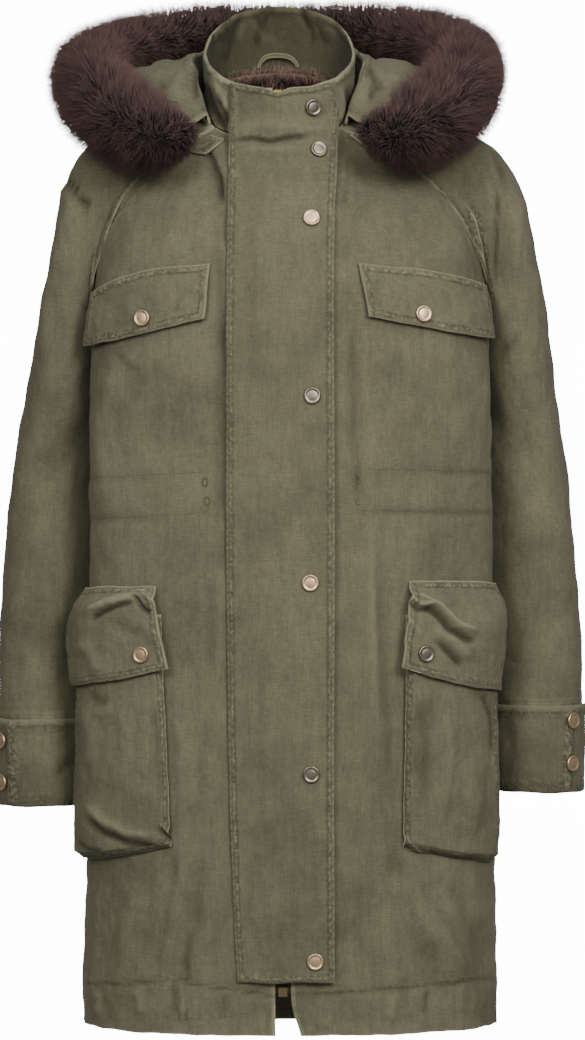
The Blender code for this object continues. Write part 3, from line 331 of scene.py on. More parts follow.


# ---- Folds and seams, as tables: a row's numbers come first, and then the places of its path in the view.
# A fold is a soft ridge, or a trough where its rise is below 0; a narrow trough is darkened with painted shade and a
# ridge gets a painted highlight. Its numbers are its width and rise, in mm, and its steepness, which is how much
# narrower it is on the side to its path's left. A seam's numbers are how much it is worn and puckered, from 0 to 1,
# which sets its pale wear, painted highlight and painted shade, and how widely, in mm.
Fold = namedtuple("Fold", "path width rise steep")
Seam = namedtuple("Seam", "path wear width")


def rows(table, kind):
    """The rows of a table as folds or seams. A line that starts with # is a note."""
    found = []
    for line in table.strip().splitlines():
        if not line.startswith("#"):
            numbers = [float(word) for word in line.split() if "," not in word]
            path = [tuple(float(n) for n in word.split(",")) for word in line.split() if "," in word]
            found.append(kind(path, *numbers))
    return found


def folds(table):
    return rows(table, Fold)


def softer(some_folds, share):
    """Folds with their rise lowered to a share."""
    return [fold._replace(rise=fold.rise * share) for fold in some_folds]


FRONT_FOLDS = folds("""
# sharper creases
7 -1.7 0.7 213,540 210,620 208,690
7 -1.7 0.7 206,700 200,785 191,838
7 1.5 0.8 222,560 218,640 216,720
4 -0.8 0.8 191,930 187,955 186,976
3 -0.8 0.7 358,470 361,485 364,500
8 -1 0.7 378,530 381,620 385,735 397,812
8 1.6 0.7 368,540 371,640 374,740
9 -2.8 0.7 402,856 424,892 450,930 474,966
9 2.2 0.7 394,872 414,908 440,950
7 -1 0.8 356,880 362,930 360,975
9 -1.6 0.8 150,870 146,920 134,970
9 1.5 0.8 170,870 166,930 156,975
7 -1.1 0.8 222,900 216,940 212,980
5 -1 0.8 116,350 124,362 142,372
6 -1.2 0.8 218,240 221,300 222,360
3.5 -2.4 0.8 199,138 211,159 218,180 222,206
5 -1.4 0.8 350,150 346,180 345,220
# beside the storm flap, falling from the chest and the waist
9 2.6 0.6 214,500 211,600 209,700 203,800 196,900
8 -2.4 1 221,300 219,420 220,540
7 -2 0.8 214,560 212,700 199,880 192,990
10 2.2 0.8 180,690 186,800 178,960
8 -2.4 0.7 176,850 168,900 152,985
12 2.4 0.8 140,880 128,940 118,1010
8 -2 0.7 189,880 182,960 186,1020
10 2 0.7 98,880 92,950 90,1010
# the other side
7 -2.2 0.6 354,300 356,420 361,520
9 2.4 0.7 372,480 374,600 378,700 386,800
8 -1.3 0.8 385,560 388,700 397,820
12 3.4 0.6 400,840 425,900 455,950 472,985
10 -3.2 0.8 392,830 404,900 432,960 452,1010
9 2 0.8 384,900 392,960 398,1015
9 -2.4 0.8 455,880 474,930 486,975
# drawing towards the armholes and below the collar
10 1.8 1 120,352 102,420 98,520
12 -1.8 1 158,360 150,430 152,470
12 1.6 1 440,350 462,420 470,500
14 -1.6 1 400,350 392,420 396,465
9 -1.8 0.8 214,158 219,200 222,250
8 1.6 0.8 344,150 350,200 350,250
11 1.5 1 196,180 176,230 160,262
11 1.5 1 372,180 398,226 416,262
# the waist casing draws in
3 -0.7 1 90,479 150,476 205,472
3 -0.7 1 90,520 150,517 205,513
3 -0.7 1 358,469 420,470 492,471
3 -0.7 1 358,511 420,511 493,512
# the hem band
3 -0.8 1 82,983 124,983 168,980 187,981 200,986 238,989 276,993
3 -0.8 1 292,997 328,994 366,992 400,987 442,984 478,981 487,978
5 1.2 0.6 100,990 98,1018
5 1.2 0.6 138,986 142,1016
5 -1.4 0.6 174,984 176,1016
5 1.6 0.6 182,984 184,1016
5 -1.2 0.6 224,992 222,1024
6 1.2 0.6 330,1000 326,1030
6 -1.2 0.6 352,998 356,1026
5 1.4 0.6 392,992 390,1022
5 -1.2 0.6 430,988 426,1018
6 1.2 0.6 458,986 462,1014
""")
BACK_FOLDS = folds("""
14 4 0.7 292,200 290,330 286,450
12 -3.2 0.8 262,260 254,380 246,470
12 3 0.8 232,240 214,350 200,450
13 -3 0.7 330,250 340,380 348,470
12 3 0.7 366,240 386,340 404,450
16 4.6 0.7 250,540 240,700 232,880 228,1010
14 -4.2 0.8 210,560 196,720 184,900 180,1010
16 4.2 0.8 170,580 150,740 134,1000
15 -4 0.7 300,560 304,740 312,1000
16 4.4 0.7 345,540 358,720 368,1010
14 -4.2 0.8 396,560 414,740 424,1000
15 3.8 0.7 440,600 462,800 472,1010
6 -1.6 1 95,486 200,496 292,499 390,496 490,486
6 -1.6 1 95,524 200,534 292,537 390,534 490,524
4 -0.9 1 85,992 200,1004 292,1008 390,1004 495,992
""")
SLEEVE_FOLDS = folds("""
# wearer's right
4 -3.6 0.6 60,172 72,184 86,201 93,216
6 2.4 0.6 58,186 70,198 82,218
10 3 0.6 58,196 70,214 80,250 84,300
11 -1.8 0.8 50,290 60,350 62,430
12 2 0.8 38,360 44,450 44,540
10 -1.8 0.7 84,420 64,464 38,494
10 1.8 0.7 26,520 48,556 76,600
10 -1.8 0.7 20,584 42,620 72,640
10 1.6 0.7 18,640 38,668 66,680
7 -1.4 0.7 78,560 70,620 66,690
# wearer's left
3.5 -2.4 0.6 499,146 500,190 498,240 494,286
4.5 1.8 0.7 493,146 493,190 491,236
7 2.2 0.7 523,190 519,215 517,240 514,276
10 -3 0.8 508,190 504,250 500,300
6 2 0.6 524,322 510,334 494,348
6 -1.9 0.7 520,336 508,348 497,366
10 1.8 0.7 532,340 520,372 502,410
10 -1.6 0.8 538,400 524,440 505,470
8 1.6 0.7 540,474 520,488 496,502
8 -1.4 0.7 540,486 520,500 500,516
8 1.6 0.7 530,536 512,550 496,562
8 -1.4 0.7 532,548 514,562 500,580
11 -1.6 0.8 550,560 540,610 524,650
9 1.6 0.8 562,620 548,655 525,680
6 1.6 0.7 566,684 548,690 500,696
""")
SLEEVE_BACK_FOLDS = folds("""
11 3.4 0.6 96,230 70,260 50,330
12 -3.2 0.8 104,280 76,320 52,380
12 3.2 0.7 96,350 62,390 34,420
13 -3 0.7 90,420 50,450 24,500
13 3 0.8 84,500 46,530 14,590
12 -2.8 0.8 80,580 40,620 10,660
11 3.4 0.6 488,230 514,262 536,330
12 -3.2 0.8 482,280 508,322 536,376
12 3.2 0.7 490,350 524,392 552,424
13 -3 0.7 496,420 536,454 562,500
13 3 0.8 500,500 540,532 570,590
12 -2.8 0.8 504,580 546,618 574,656
""")
NECK_CREASE = folds("""
8 2.2 0.8 220,126 240,127 262,123 290,127 345,128
2.8 -2.1 1 222,140 233,141 252,138 270,141 292,138 312,137 345,143
5 1.2 0.8 236,149 262,148 292,149 330,151
""")
FLAP_FOLDS = NECK_CREASE + folds("""
7 -1 1 250,200 248,300 254,420
8 0.9 1 290,460 286,560 292,660
7 -0.9 1 262,640 258,760 264,860
""")
COLLAR_FOLDS = NECK_CREASE + folds("""
4 -3.4 0.8 203,78 211,104 222,126 228,134
5 2.6 0.8 210,74 222,96 229,116
3 -2.6 0.8 216,96 223,108 229,128
4 -3 0.8 346,84 350,110 342,136
5 2.4 0.8 340,84 344,104 338,128
""")
COLLAR_BACK_FOLDS = folds("""
5 2.4 0.7 260,-24 246,-3 235,28
3.5 -3 0.8 275,-22 260,3 254,30
5 2.4 0.8 319,-22 328,-1 342,26
3.5 -2.8 0.8 302,-20 313,5 319,28
4 -2.6 0.8 229,-12 223,9 221,32
4 2.6 0.8 292,-22 300,-3 324,22
3.5 -2.4 0.8 300,-3 319,9 336,32
4 2.2 0.8 248,-6 260,16 284,26
3.5 -2.6 0.8 232,2 226,24 222,50
3.5 -2.4 0.8 352,2 362,26 360,52
""")
HOOD_FOLDS = folds("""
4 -2 0.8 197,60 193,80 195,102
5 1.4 0.8 184,66 180,86 184,102
4 -1.6 0.8 172,78 170,98 180,114
3 -1.4 0.8 222,137 225,148 229,159
4 -2 0.8 371,64 375,84 372,104
5 1.4 0.8 384,70 390,88 386,104
4 -1.6 0.8 402,84 404,100 394,116
""")
CUFF_FOLDS = folds("""
4 -1.8 0.8 76,756 66,764 58,776
6 1.4 0.8 76,744 58,758 46,776
6 -1 0.8 30,722 26,750
6 1 0.8 14,724 16,760 14,790
6 -1.2 0.8 505,712 512,750 510,790
7 1.2 0.8 530,706 532,750 530,790
""")
CHEST_FOLDS = folds("""
4 1.4 0.7 204,286 190,294 176,310
4 -1 1 196,288 180,300 170,316
6 0.8 1 110,300 106,336
5 -0.8 1 380,274 372,312
6 0.8 1 470,290 466,330
""")
POCKET_FOLDS = folds("""
# the left pocket in the view
5 3.2 0.6 82,613 95,606 107,600 135,592 152,590
3 -2.6 0.8 86,622 100,613 116,606 136,600
2.5 -2.8 0.8 134,594 139,604 144,610 151,614
4 2.6 0.8 143,588 149,596 156,602
8 2.2 0.7 76,640 92,652 100,676
7 -1.3 0.8 112,620 126,632 140,636
6 1.6 0.8 146,616 152,640 156,664
4 -1.3 0.8 88,690 94,698 101,702 110,698
5 1.2 0.8 92,706 102,712 114,708
8 2 0.7 84,704 92,730 90,770
7 -1.6 0.8 150,700 158,760 162,816
6 2.6 0.6 82,800 104,820 126,832 160,836
4 -2.8 0.8 82,812 104,833 130,843 160,846
9 1.6 0.8 120,700 126,750 118,795
3 -2.6 0.8 158,828 168,838 178,842
3 2.2 0.8 160,822 170,832 176,838
3 -1.6 0.8 76,840 88,850 104,852
# the right pocket
4 3.4 0.5 406,592 420,594 440,604 460,624 482,632
4 -3.4 0.7 424,604 440,616 452,630 466,638 480,642
4 -3 0.7 426,640 440,644 452,654 464,668
7 2.2 0.7 432,630 452,640 474,660
2.5 2.6 0.7 404,586 410,596 420,604 434,603
2.5 -2.2 0.8 408,600 418,610 436,609
7 1.8 0.8 404,640 410,668 414,684
4 1.8 0.8 402,618 412,622 424,640
4 -1.7 0.7 472,690 485,698 492,716 494,760
8 2 0.7 444,700 450,760 444,820
3 3 0.6 402,834 412,846 426,860
2.5 -3 0.8 404,842 412,853 424,862
7 -1.8 0.8 424,700 428,760 424,820
5 -1.8 0.8 424,852 450,858 486,862
10 2 0.8 466,760 476,800 470,840
""")
RAGLAN = rows("""
0.5 1.6 151,177 130,199 122,209 107,227 94,252 89,290
0.5 1.6 415,171 445,196 470,224 490,260 493,290
""", Seam)
# The casing's stitched lines: their first number sets only the painted shade along them
CASING = rows("""
0.5 1.3 88,477.5 150,475 205,472
0.5 1.3 88,519 150,516 207,512
0.5 1.3 367,469 430,470 492,472
0.5 1.3 360,510 425,511 494,512
""", Seam)
HEM = rows("""
0.6 1.8 81,982 130,983 170,980 207,986 275,995
0.6 1.8 292,994 360,991 410,986 492,977
0.5 1.6 172,980 176,1000 180,1018
0.5 1.6 184,981 185,1000 187,1019
""", Seam)
BACK_HEM = rows("""
0.6 1.8 85,992 200,1004 292,1008 390,1004 495,992
""", Seam)

# Levels, in metres, where the collar and the flap are cut finer for the sharp crease at the neck
NECK_CUTS = (-0.018, -0.0225, -0.0265, -0.0305, -0.036)

# Draws are places where cloth is drawn aside, with their reach and how far it moves there, in metres.
Draw = namedtuple("Draw", "place reach move")
# the hood's front edges are drawn down to the neck seam
HOOD_DRAWS = (
    Draw((-0.0876, -0.075, 0.005), 0.016, (0.002, 0.0, -0.007)),
    Draw((0.068, -0.075, 0.0), 0.016, (-0.002, 0.0, -0.007)),
)
# the flap's top edge dips before the zip slider
FLAP_DRAWS = (Draw((-0.0078, -0.1045, 0.0268), 0.009, (0.0, 0.0, -0.0042)),)


# ---- Cloth shells

# By the angle of their edges, triangles pair up into quads, edges stay sharp in the finer form, and the sharpest
# ones are a cloth's outer rim
FLAT_PAIR, SQUARE_PAIR = math.radians(35.0), math.radians(60.0)
SHARP_EDGE = math.radians(38.0)
RIM_EDGE = math.radians(66.0)
SHADED_SHARP = math.radians(50.0)
# How much deeper folds lie than in the tables, and the width from which their painted shade and highlight are
# weaker, in mm
FOLD_GAIN = 1.7
SHARP_FOLD = 5.2
# How far the cloth is held flat round a press stud, and over what length it comes free, in metres
STUD_HOLD, STUD_FREE = 0.010, 0.016
# The crumple of the cloth, in and out and up and down: how far it goes and the length of its waves, in metres
CRUMPLES = ((0.0011, 0.026), (0.0004, 0.009))
WAVER = (0.0007, 0.019)
# How deep a trough is to be fully painted with shade and how high a ridge is to get a full painted highlight, in
# metres
DARK_TROUGH, PALE_RIDGE = 0.0024, 0.0030
# The most that painted shade darkens it, how wide its edges are pale with wear and painted highlight, and how far up
# a tuck pulls it, in metres
DARKEST, EDGE_WEAR_AND_HIGHLIGHT, TUCK_LENGTH = 1.18, 0.0012, 0.012

# The arms' middle lines: level, distance from the coat's middle and depth, from the neck to the cuff, in metres
COAT_MIDDLE = 0.005
ARM = np.array([
    (-0.129, 0.2005, 0.012), (-0.2025, 0.2205, 0.020), (-0.2685, 0.2285, 0.030), (-0.3375, 0.2338, 0.037),
    (-0.435, 0.2415, 0.036), (-0.5375, 0.2508, 0.026), (-0.6135, 0.2558, 0.016), (-0.704, 0.2550, 0.012)])

# The fur roll's middle line, and its radius along it, in metres
FUR_LINE = np.array([
    (-0.104, -0.122, -0.022, 0.026), (-0.126, -0.131, -0.027, 0.040), (-0.162, -0.115, -0.014, 0.045),
    (-0.192, -0.078, 0.018, 0.045), (-0.202, -0.021, 0.050, 0.042), (-0.187, 0.040, 0.077, 0.038),
    (-0.148, 0.090, 0.093, 0.040), (-0.092, 0.121, 0.104, 0.040), (-0.010, 0.134, 0.104, 0.040),
    (0.072, 0.121, 0.106, 0.040), (0.130, 0.092, 0.099, 0.041), (0.170, 0.042, 0.083, 0.041),
    (0.186, -0.021, 0.056, 0.043), (0.177, -0.080, 0.020, 0.045), (0.149, -0.117, -0.012, 0.045),
    (0.112, -0.131, -0.025, 0.040), (0.090, -0.121, -0.019, 0.026)])
# How far the hood's edge goes in under the roll, the widest gap it closes and how far back its cloth moves with it,
# in metres, and the slots of angle round the neck in which the gap is measured, in degrees
UNDER, WIDEST_GAP, MOVED_CLOTH, GAP_SLOT = 0.011, 0.020, 0.036, 8.0


def fetch(node):
    """A node's solid as a form with its doubles merged, in quads where its triangles pair up."""
    form = bmesh.new()
    form.from_mesh(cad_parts[node].data)
    bmesh.ops.remove_doubles(form, verts=form.verts, dist=0.00002)
    bmesh.ops.join_triangles(form, faces=form.faces, angle_face_threshold=FLAT_PAIR,
                             angle_shape_threshold=SQUARE_PAIR)
    return form


def applied(name, form, levels):
    """The mesh of a form after subdivision, with its sharp edges kept."""
    layer = form.edges.layers.float.new("crease_edge")
    for edge in form.edges:
        edge.smooth = not (len(edge.link_faces) == 2 and edge.calc_face_angle(0.0) > SHARP_EDGE)
        edge[layer] = 0.0 if edge.smooth else 1.0
    holder = in_scene(name + "_rough", as_mesh(name, form, False))
    finer = holder.modifiers.new("finer", "SUBSURF")
    finer.levels = finer.render_levels = levels
    return taken_from(holder, name)


def near_path(spots, path):
    """For places in the view, the distance to a path, its sign by side, and the share along it."""
    best = np.full(len(spots), 1e9)
    signed = np.zeros(len(spots))
    share = np.zeros(len(spots))
    ends = [np.array(p, float) for p in path]
    lengths = [np.linalg.norm(b - a) for a, b in zip(ends, ends[1:])]
    total = sum(lengths)
    before = 0.0
    for a, b, length in zip(ends, ends[1:], lengths):
        t = np.clip(((spots - a) @ (b - a)) / length**2, 0.0, 1.0)
        offset = spots - (a + t[:, None] * (b - a))
        apart = np.linalg.norm(offset, axis=1)
        side = np.sign((b - a)[0] * offset[:, 1] - (b - a)[1] * offset[:, 0])
        nearer = apart < best
        best = np.where(nearer, apart, best)
        signed = np.where(nearer, apart * side, signed)
        share = np.where(nearer, (before + t * length) / total, share)
        before += length
    return best, signed, share


def fold_depth(spots, some_folds, sharp=math.inf):
    """How far folds move cloth out at places in the view, in metres. Those wider than the sharp width count for
    less."""
    depth = np.zeros(len(spots))
    for fold in some_folds:
        _, signed, along = near_path(spots, fold.path)
        wide = np.where(signed > 0.0, fold.width, fold.width * fold.steep)
        ends = smooth(np.minimum(along, 1.0 - along) / 0.22 + 0.04)
        depth += fold.rise / 1000.0 * bell(signed / wide) * ends * min(1.0, (sharp / fold.width) ** 2)
    return depth


def wear_along(spots, seams, faces):
    """How much seams mark the cloth at places in the view, where it faces that way."""
    marks = np.zeros(len(spots))
    for seam in seams:
        marks = np.maximum(marks, seam.wear * bell(near_path(spots, seam.path)[0] / seam.width) * faces)
    return marks


def away_from_body(points):
    """The outward direction of the coat's body at points."""
    away = np.column_stack((points[:, 0] - COAT_MIDDLE, points[:, 1] * 1.5, np.zeros(len(points))))
    return away / np.linalg.norm(away, axis=1)[:, None]


def away_from_arm(points):
    """The outward direction of a sleeve at points, from the middle line of the arm."""
    side = np.sign(points[:, 0].mean())
    middle_x = COAT_MIDDLE + side * np.interp(points[:, 2], ARM[::-1, 0], ARM[::-1, 1])
    middle_y = np.interp(points[:, 2], ARM[::-1, 0], ARM[::-1, 2])
    away = np.column_stack((points[:, 0] - middle_x, points[:, 1] - middle_y, np.zeros(len(points))))
    return away / np.maximum(np.linalg.norm(away, axis=1), 1e-6)[:, None]


def nearest_on_roll(points):
    """The nearest point to each of some points on the fur roll's middle line, how far off it is, and the roll's
    radius there."""
    best = np.full(len(points), 1e9)
    middle = np.zeros((len(points), 3))
    radius = np.zeros(len(points))
    for a, b in zip(FUR_LINE[:-1], FUR_LINE[1:]):
        run = (b - a)[:3]
        t = np.clip(((points - a[:3]) @ run) / (run @ run), 0.0, 1.0)
        on = a[:3] + t[:, None] * run
        apart = np.linalg.norm(points - on, axis=1)
        middle = np.where((apart < best)[:, None], on, middle)
        radius = np.where(apart < best, a[3] + t * (b - a)[3], radius)
        best = np.minimum(apart, best)
    return middle, best, radius


def under_fur(points):
    """How the hood's cloth moves so that its edge goes in under the fur roll it is sewn to."""
    middle, apart, radius = nearest_on_roll(points)
    gap = apart - radius
    around = np.degrees(np.arctan2(points[:, 0], points[:, 1]))
    slots = np.round(around / GAP_SLOT).astype(int)
    places = np.unique(slots)
    rim = np.array([gap[slots == slot].min() for slot in places])
    rim = np.minimum(np.interp(around, places * GAP_SLOT, rim), WIDEST_GAP)
    # the hood's front edges, ahead of y -0.072, stay where they are
    share = smooth(1.0 - (gap - rim) / MOVED_CLOTH) * smooth((points[:, 1] + 0.072) / 0.036)
    return unit(middle - points) * ((rim + UNDER) * share)[:, None]


STUD_PLACES = [read(node.data).mean(axis=0) for name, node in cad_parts.items() if "snap" in name]


def calm(points):
    """0 beside a press stud, where the cloth is held flat, and 1 away from it."""
    near = np.min([np.linalg.norm(points - place, axis=1) for place in STUD_PLACES], axis=0)
    return smooth((near - STUD_HOLD) / STUD_FREE)


def uneven(points, wave):
    """Smooth chance unevenness from about -1 to 1 with waves of a length in metres."""
    return np.array([noise.noise(Vector(point) / wave) for point in points]) * 1.6


def contour(mesh, values, level, outer):
    """The lines on a mesh's outward faces where a value at its points passes a level, as lists of points."""
    crossings = {}
    links = {}
    mesh.calc_loop_triangles()
    for triangle in mesh.loop_triangles:
        if not outer[triangle.polygon_index]:
            continue
        keys = []
        for a, b in ((0, 1), (1, 2), (2, 0)):
            v, w = sorted((triangle.vertices[a], triangle.vertices[b]))
            if (values[v] > level) != (values[w] > level):
                keys.append((v, w))
                if (v, w) not in crossings:
                    t = (level - values[v]) / (values[w] - values[v])
                    crossings[v, w] = mesh.vertices[v].co.lerp(mesh.vertices[w].co, t)
        if len(keys) == 2:
            links.setdefault(keys[0], []).append(keys[1])
            links.setdefault(keys[1], []).append(keys[0])
    lines = []
    done = set()
    for first in sorted(links, key=lambda key: len(links[key])):
        if first in done:
            continue
        line = [first]
        done.add(first)
        while True:
            onward = [key for key in links[line[-1]] if key not in done]
            if not onward:
                break
            line.append(onward[0])
            done.add(onward[0])
        if line[0] in links[line[-1]] and len(line) > 3:
            line.append(line[0])
        lines.append([crossings[key] for key in line])
    return lines


def rim_of(form):
    """The outer edges of a form, to measure from, as a search tree of points along them."""
    rims = [e for e in form.edges if len(e.link_faces) == 2 and e.calc_face_angle(0.0) > RIM_EDGE]
    points = [v.co.lerp(w.co, t / 12.0) for e in rims for v, w in [e.verts] for t in range(12)]
    tree = KDTree(len(points))
    for i, point in enumerate(points):
        tree.insert(point, i)
    tree.balance()
    return tree


stitch_lines = []


def shell(node, levels, away, front=(), back=(), band=0.0, seams=(), back_seams=(), shaded_lines=(), inside_shade=0.45,
          tuck=0.0, cuts=(), draws=(), pale=1.0, moved=None):
    """A thin cloth shell on a node's form, in the node's place, with its folds. The band is how far in from its
    edges the cloth is topstitched, in mm. The inside shade is how much painted shade darkens its inside. The tuck is
    how far its lower end goes down inside the next piece, in metres. The cuts are levels, in metres, where its form
    is cut finer for a sharp crease. The draws say where it is drawn aside. Pale says how pale its edges are, with
    wear and painted highlight. Moved gives a further move at points."""
    rough = fetch(node)
    for level in cuts:
        bmesh.ops.bisect_plane(rough, geom=rough.verts[:] + rough.edges[:] + rough.faces[:], dist=0.0001,
                               plane_co=(0.0, 0.0, level), plane_no=(0.0, 0.0, 1.0))
    rim = rim_of(rough)
    mesh = applied(node + "_cloth", rough, levels)
    points = read(mesh)
    out = away(points)
    free = calm(points)
    apart = np.array([rim.find(Vector(p))[2] for p in points])
    view, rear = in_view(points), in_view(points, True)
    ahead = smooth(0.5 - out[:, 1] * 2.2)
    behind = 1.0 - ahead

    # its form
    relief = (fold_depth(view, front) * ahead + fold_depth(rear, back) * behind) * free
    crumple = sum(rise * uneven(points, wave) for rise, wave in CRUMPLES)
    placed = points + out * (relief * FOLD_GAIN + crumple * free)[:, None]
    foot = np.clip(1.0 - (points[:, 2] - points[:, 2].min()) / TUCK_LENGTH, 0.0, 1.0)
    placed[:, 2] += WAVER[0] * uneven(points + np.array([1.0, 0.0, 0.0]), WAVER[1]) * free - tuck * foot
    for draw in draws:
        pull = bell(np.linalg.norm(points - np.array(draw.place), axis=1) / draw.reach)
        placed += pull[:, None] * np.array(draw.move)
    if moved:
        placed += moved(points)
    mesh.vertices.foreach_set("co", placed.ravel())
    mesh.update()

    # its wear, and its painted shade and highlight
    marked = (fold_depth(view, front, SHARP_FOLD) * ahead + fold_depth(rear, back, SHARP_FOLD) * behind) * free
    # how worn and puckered its seams are, which sets their pale wear and painted highlight and their painted shade
    worn = np.maximum(wear_along(view, seams, ahead), wear_along(rear, back_seams, behind))
    # painted shade in narrow fold troughs and along the shaded stitched lines
    dark = np.maximum(smooth(-marked / DARK_TROUGH), wear_along(view, shaded_lines, ahead))
    if band:
        # pale over the allowance, with wear and painted highlight on its puckers, and painted shade at the stitching
        # and beside the turned edge, in mm from the rim
        inside = apart * 1000.0
        worn = np.maximum(worn, bell((inside - band * 0.75) / (band * 0.42)))
        dark = np.maximum(dark, 0.55 * bell((inside - band) / 0.9))
        dark = np.maximum(dark, 0.40 * bell((inside - 2.4) / 0.7))
        normals = np.array([p.normal for p in mesh.polygons])
        middles = np.array([p.center for p in mesh.polygons])
        outer = (normals * away(middles)).sum(axis=1) > 0.25
        stitch_lines.extend(contour(mesh, apart, band / 1000.0, outer))
    # painted shade on the cloth's inside, where it faces in
    facing = np.zeros(len(points) * 3)
    mesh.vertex_normals.foreach_get("vector", facing)
    inside_out = (facing.reshape(-1, 3) * out).sum(axis=1) < -0.2
    # the twill's marks: pale edges with wear and painted highlight, painted highlight on crests, pucker strength,
    # and painted shade
    set_number(mesh, "edge", pale * bell(apart / EDGE_WEAR_AND_HIGHLIGHT))
    set_number(mesh, "crest", smooth(marked / PALE_RIDGE))
    set_number(mesh, "seam", worn)
    set_number(mesh, "painted_shade", np.minimum(dark + inside_shade * inside_out, DARKEST))
    mesh.shade_smooth()
    mesh.set_sharp_from_angle(angle=SHADED_SHARP)
    piece = finished(node + "_cloth", mesh, TWILL)
    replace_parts(piece, node)
    return piece


cloths = {}
for node in ("front_left", "front_right"):
    cloths[node] = shell(node, 3, away_from_body, FRONT_FOLDS + NECK_CREASE, BACK_FOLDS, 0.0, RAGLAN + HEM, BACK_HEM,
                         CASING + HEM)
cloths["back"] = shell("back", 2, away_from_body, FRONT_FOLDS, BACK_FOLDS, 0.0, (), BACK_HEM)
cloths["storm_flap"] = shell("storm_flap", 3, away_from_body, FLAP_FOLDS, (), 6.5, cuts=NECK_CUTS, draws=FLAP_DRAWS)
for node in ("sleeve_left", "sleeve_right"):
    cloths[node] = shell(node, 2, away_from_arm, softer(SLEEVE_FOLDS, 0.70), softer(SLEEVE_BACK_FOLDS, 0.85), 5.5,
                         tuck=0.0045)
for node in ("cuff_left", "cuff_right"):
    cloths[node] = shell(node, 2, away_from_arm, softer(CUFF_FOLDS, 0.65), (), 7.0, pale=0.35)
cloths["collar"] = shell("collar", 2, away_from_body, COLLAR_FOLDS, COLLAR_BACK_FOLDS, 6.0, inside_shade=0.96,
                         cuts=NECK_CUTS)
cloths["hood"] = shell("hood", 2, away_from_body, HOOD_FOLDS, (), 6.0, draws=HOOD_DRAWS, moved=under_fur)
for node in ("hood_end_left", "hood_end_right"):
    cloths[node] = shell(node, 2, away_from_body, HOOD_FOLDS, (), 6.0)
cloths["hanger_loop"] = shell("hanger_loop", 2, away_from_body)
for node in ("chest_flap_left", "chest_flap_right"):
    cloths[node] = shell(node, 3, away_from_body, CHEST_FOLDS, (), 7.0)
for node in ("pocket_left", "pocket_right", "pocket_flap_left", "pocket_flap_right"):
    cloths[node] = shell(node, 3, away_from_body, POCKET_FOLDS, (), 7.0)
cloth_trees = [BVHTree.FromObject(piece, bpy.context.evaluated_depsgraph_get()) for piece in cloths.values()]


def on_cloth(across, down, behind=False):
    """Where the line of sight through a place in the view first meets the cloth, as a ray's hit, or None."""
    start, reach = sight(across, down, behind)
    hits = [hit for hit in (tree.ray_cast(start, reach) for tree in cloth_trees) if hit[0] is not None]
    return min(hits, key=lambda hit: hit[3]) if hits else None


# ---- Geometry Nodes: one way to start and to end a tree, and one to use it

def new_tree(name, inputs):
    """A tree with named inputs, and the outputs of its input node."""
    tree = bpy.data.node_groups.new(name, "GeometryNodeTree")
    tree.interface.new_socket("Geometry", in_out="OUTPUT", socket_type="NodeSocketGeometry")
    for title, kind in (("Geometry", "Geometry"),) + inputs + (("Finish", "Material"),):
        tree.interface.new_socket(title, in_out="INPUT", socket_type="NodeSocket" + kind)
    return tree, add(tree, "NodeGroupInput").outputs


def made_real(tree, copies, given):
    """Ends a tree: its copies are made real and get their finish."""
    real = add(tree, "GeometryNodeRealizeInstances", {0: copies})
    coated = add(tree, "GeometryNodeSetMaterial", {"Geometry": real, "Material": given["Finish"]})
    add(tree, "NodeGroupOutput", {0: coated})


def sprout(name, tree, source, values):
    """The plain mesh that a node tree makes of a source mesh with the values of its named inputs."""
    holder = in_scene(name + "_core", source)
    grower = holder.modifiers.new("grower", "NODES")
    keys = {item.name: item.identifier for item in tree.interface.items_tree if item.in_out == "INPUT"}
    grower.node_group = tree
    for key, value in values.items():
        grower[keys[key]] = value
    return taken_from(holder, name)


def row_tree():
    """Sets one copy of a piece at each point of a mesh, along its run and standing out along its rise."""
    tree, given = new_tree("set_in_rows", (("Piece", "Object"),))
    run = add(tree, "GeometryNodeInputNamedAttribute", {}, {"Name": "run"}, data_type="FLOAT_VECTOR")
    rise = add(tree, "GeometryNodeInputNamedAttribute", {}, {"Name": "rise"}, data_type="FLOAT_VECTOR")
    turn = add(tree, "FunctionNodeAxesToRotation", {"Primary Axis": rise,
                                                    "Secondary Axis": run},
               primary_axis="Z", secondary_axis="X")
    piece = add(tree, "GeometryNodeObjectInfo", {"Object": given["Piece"]}, {"As Instance": True})
    made_real(tree, add(tree, "GeometryNodeInstanceOnPoints", {
        "Points": given["Geometry"], "Instance": piece.outputs["Geometry"], "Rotation": turn}), given)
    return tree


ROWS = row_tree()


def in_rows(name, places, piece, material):
    """Copies of a piece at places given as point, run and rise, as one mesh."""
    source = bpy.data.meshes.new(name + "_places")
    source.from_pydata([place[0] for place in places], [], [])
    set_direction(source, "run", [tuple(place[1]) for place in places])
    set_direction(source, "rise", [tuple(place[2]) for place in places])
    return finished(name, sprout(name, ROWS, source, {"Piece": piece, "Finish": material}), material)


# ---- Topstitching

# One stitch's length and width, and the step from stitch to stitch, in metres
STITCH_LONG, STITCH_WIDE, STITCH_STEP = 0.0029, 0.0007, 0.0036
# The shortest line that is sewn and how near its cloth a stitch must be, in metres, and a laid line's step, in mm
SHORTEST_LINE, STITCH_REACH, LAID_STEP = 0.02, 0.004, 4.0


def laid_line(across_down, behind=False):
    """A line of places in the view, laid on the cloth that is nearest there."""
    line = []
    places = [Vector(place) for place in across_down]
    for a, b in zip(places, places[1:]):
        count = max(1, round((b - a).length / LAID_STEP))
        line += [a.lerp(b, i / count) for i in range(count)]
    line.append(places[-1])
    hits = [on_cloth(place.x, place.y, behind) for place in line]
    return [hit[0] for hit in hits if hit]


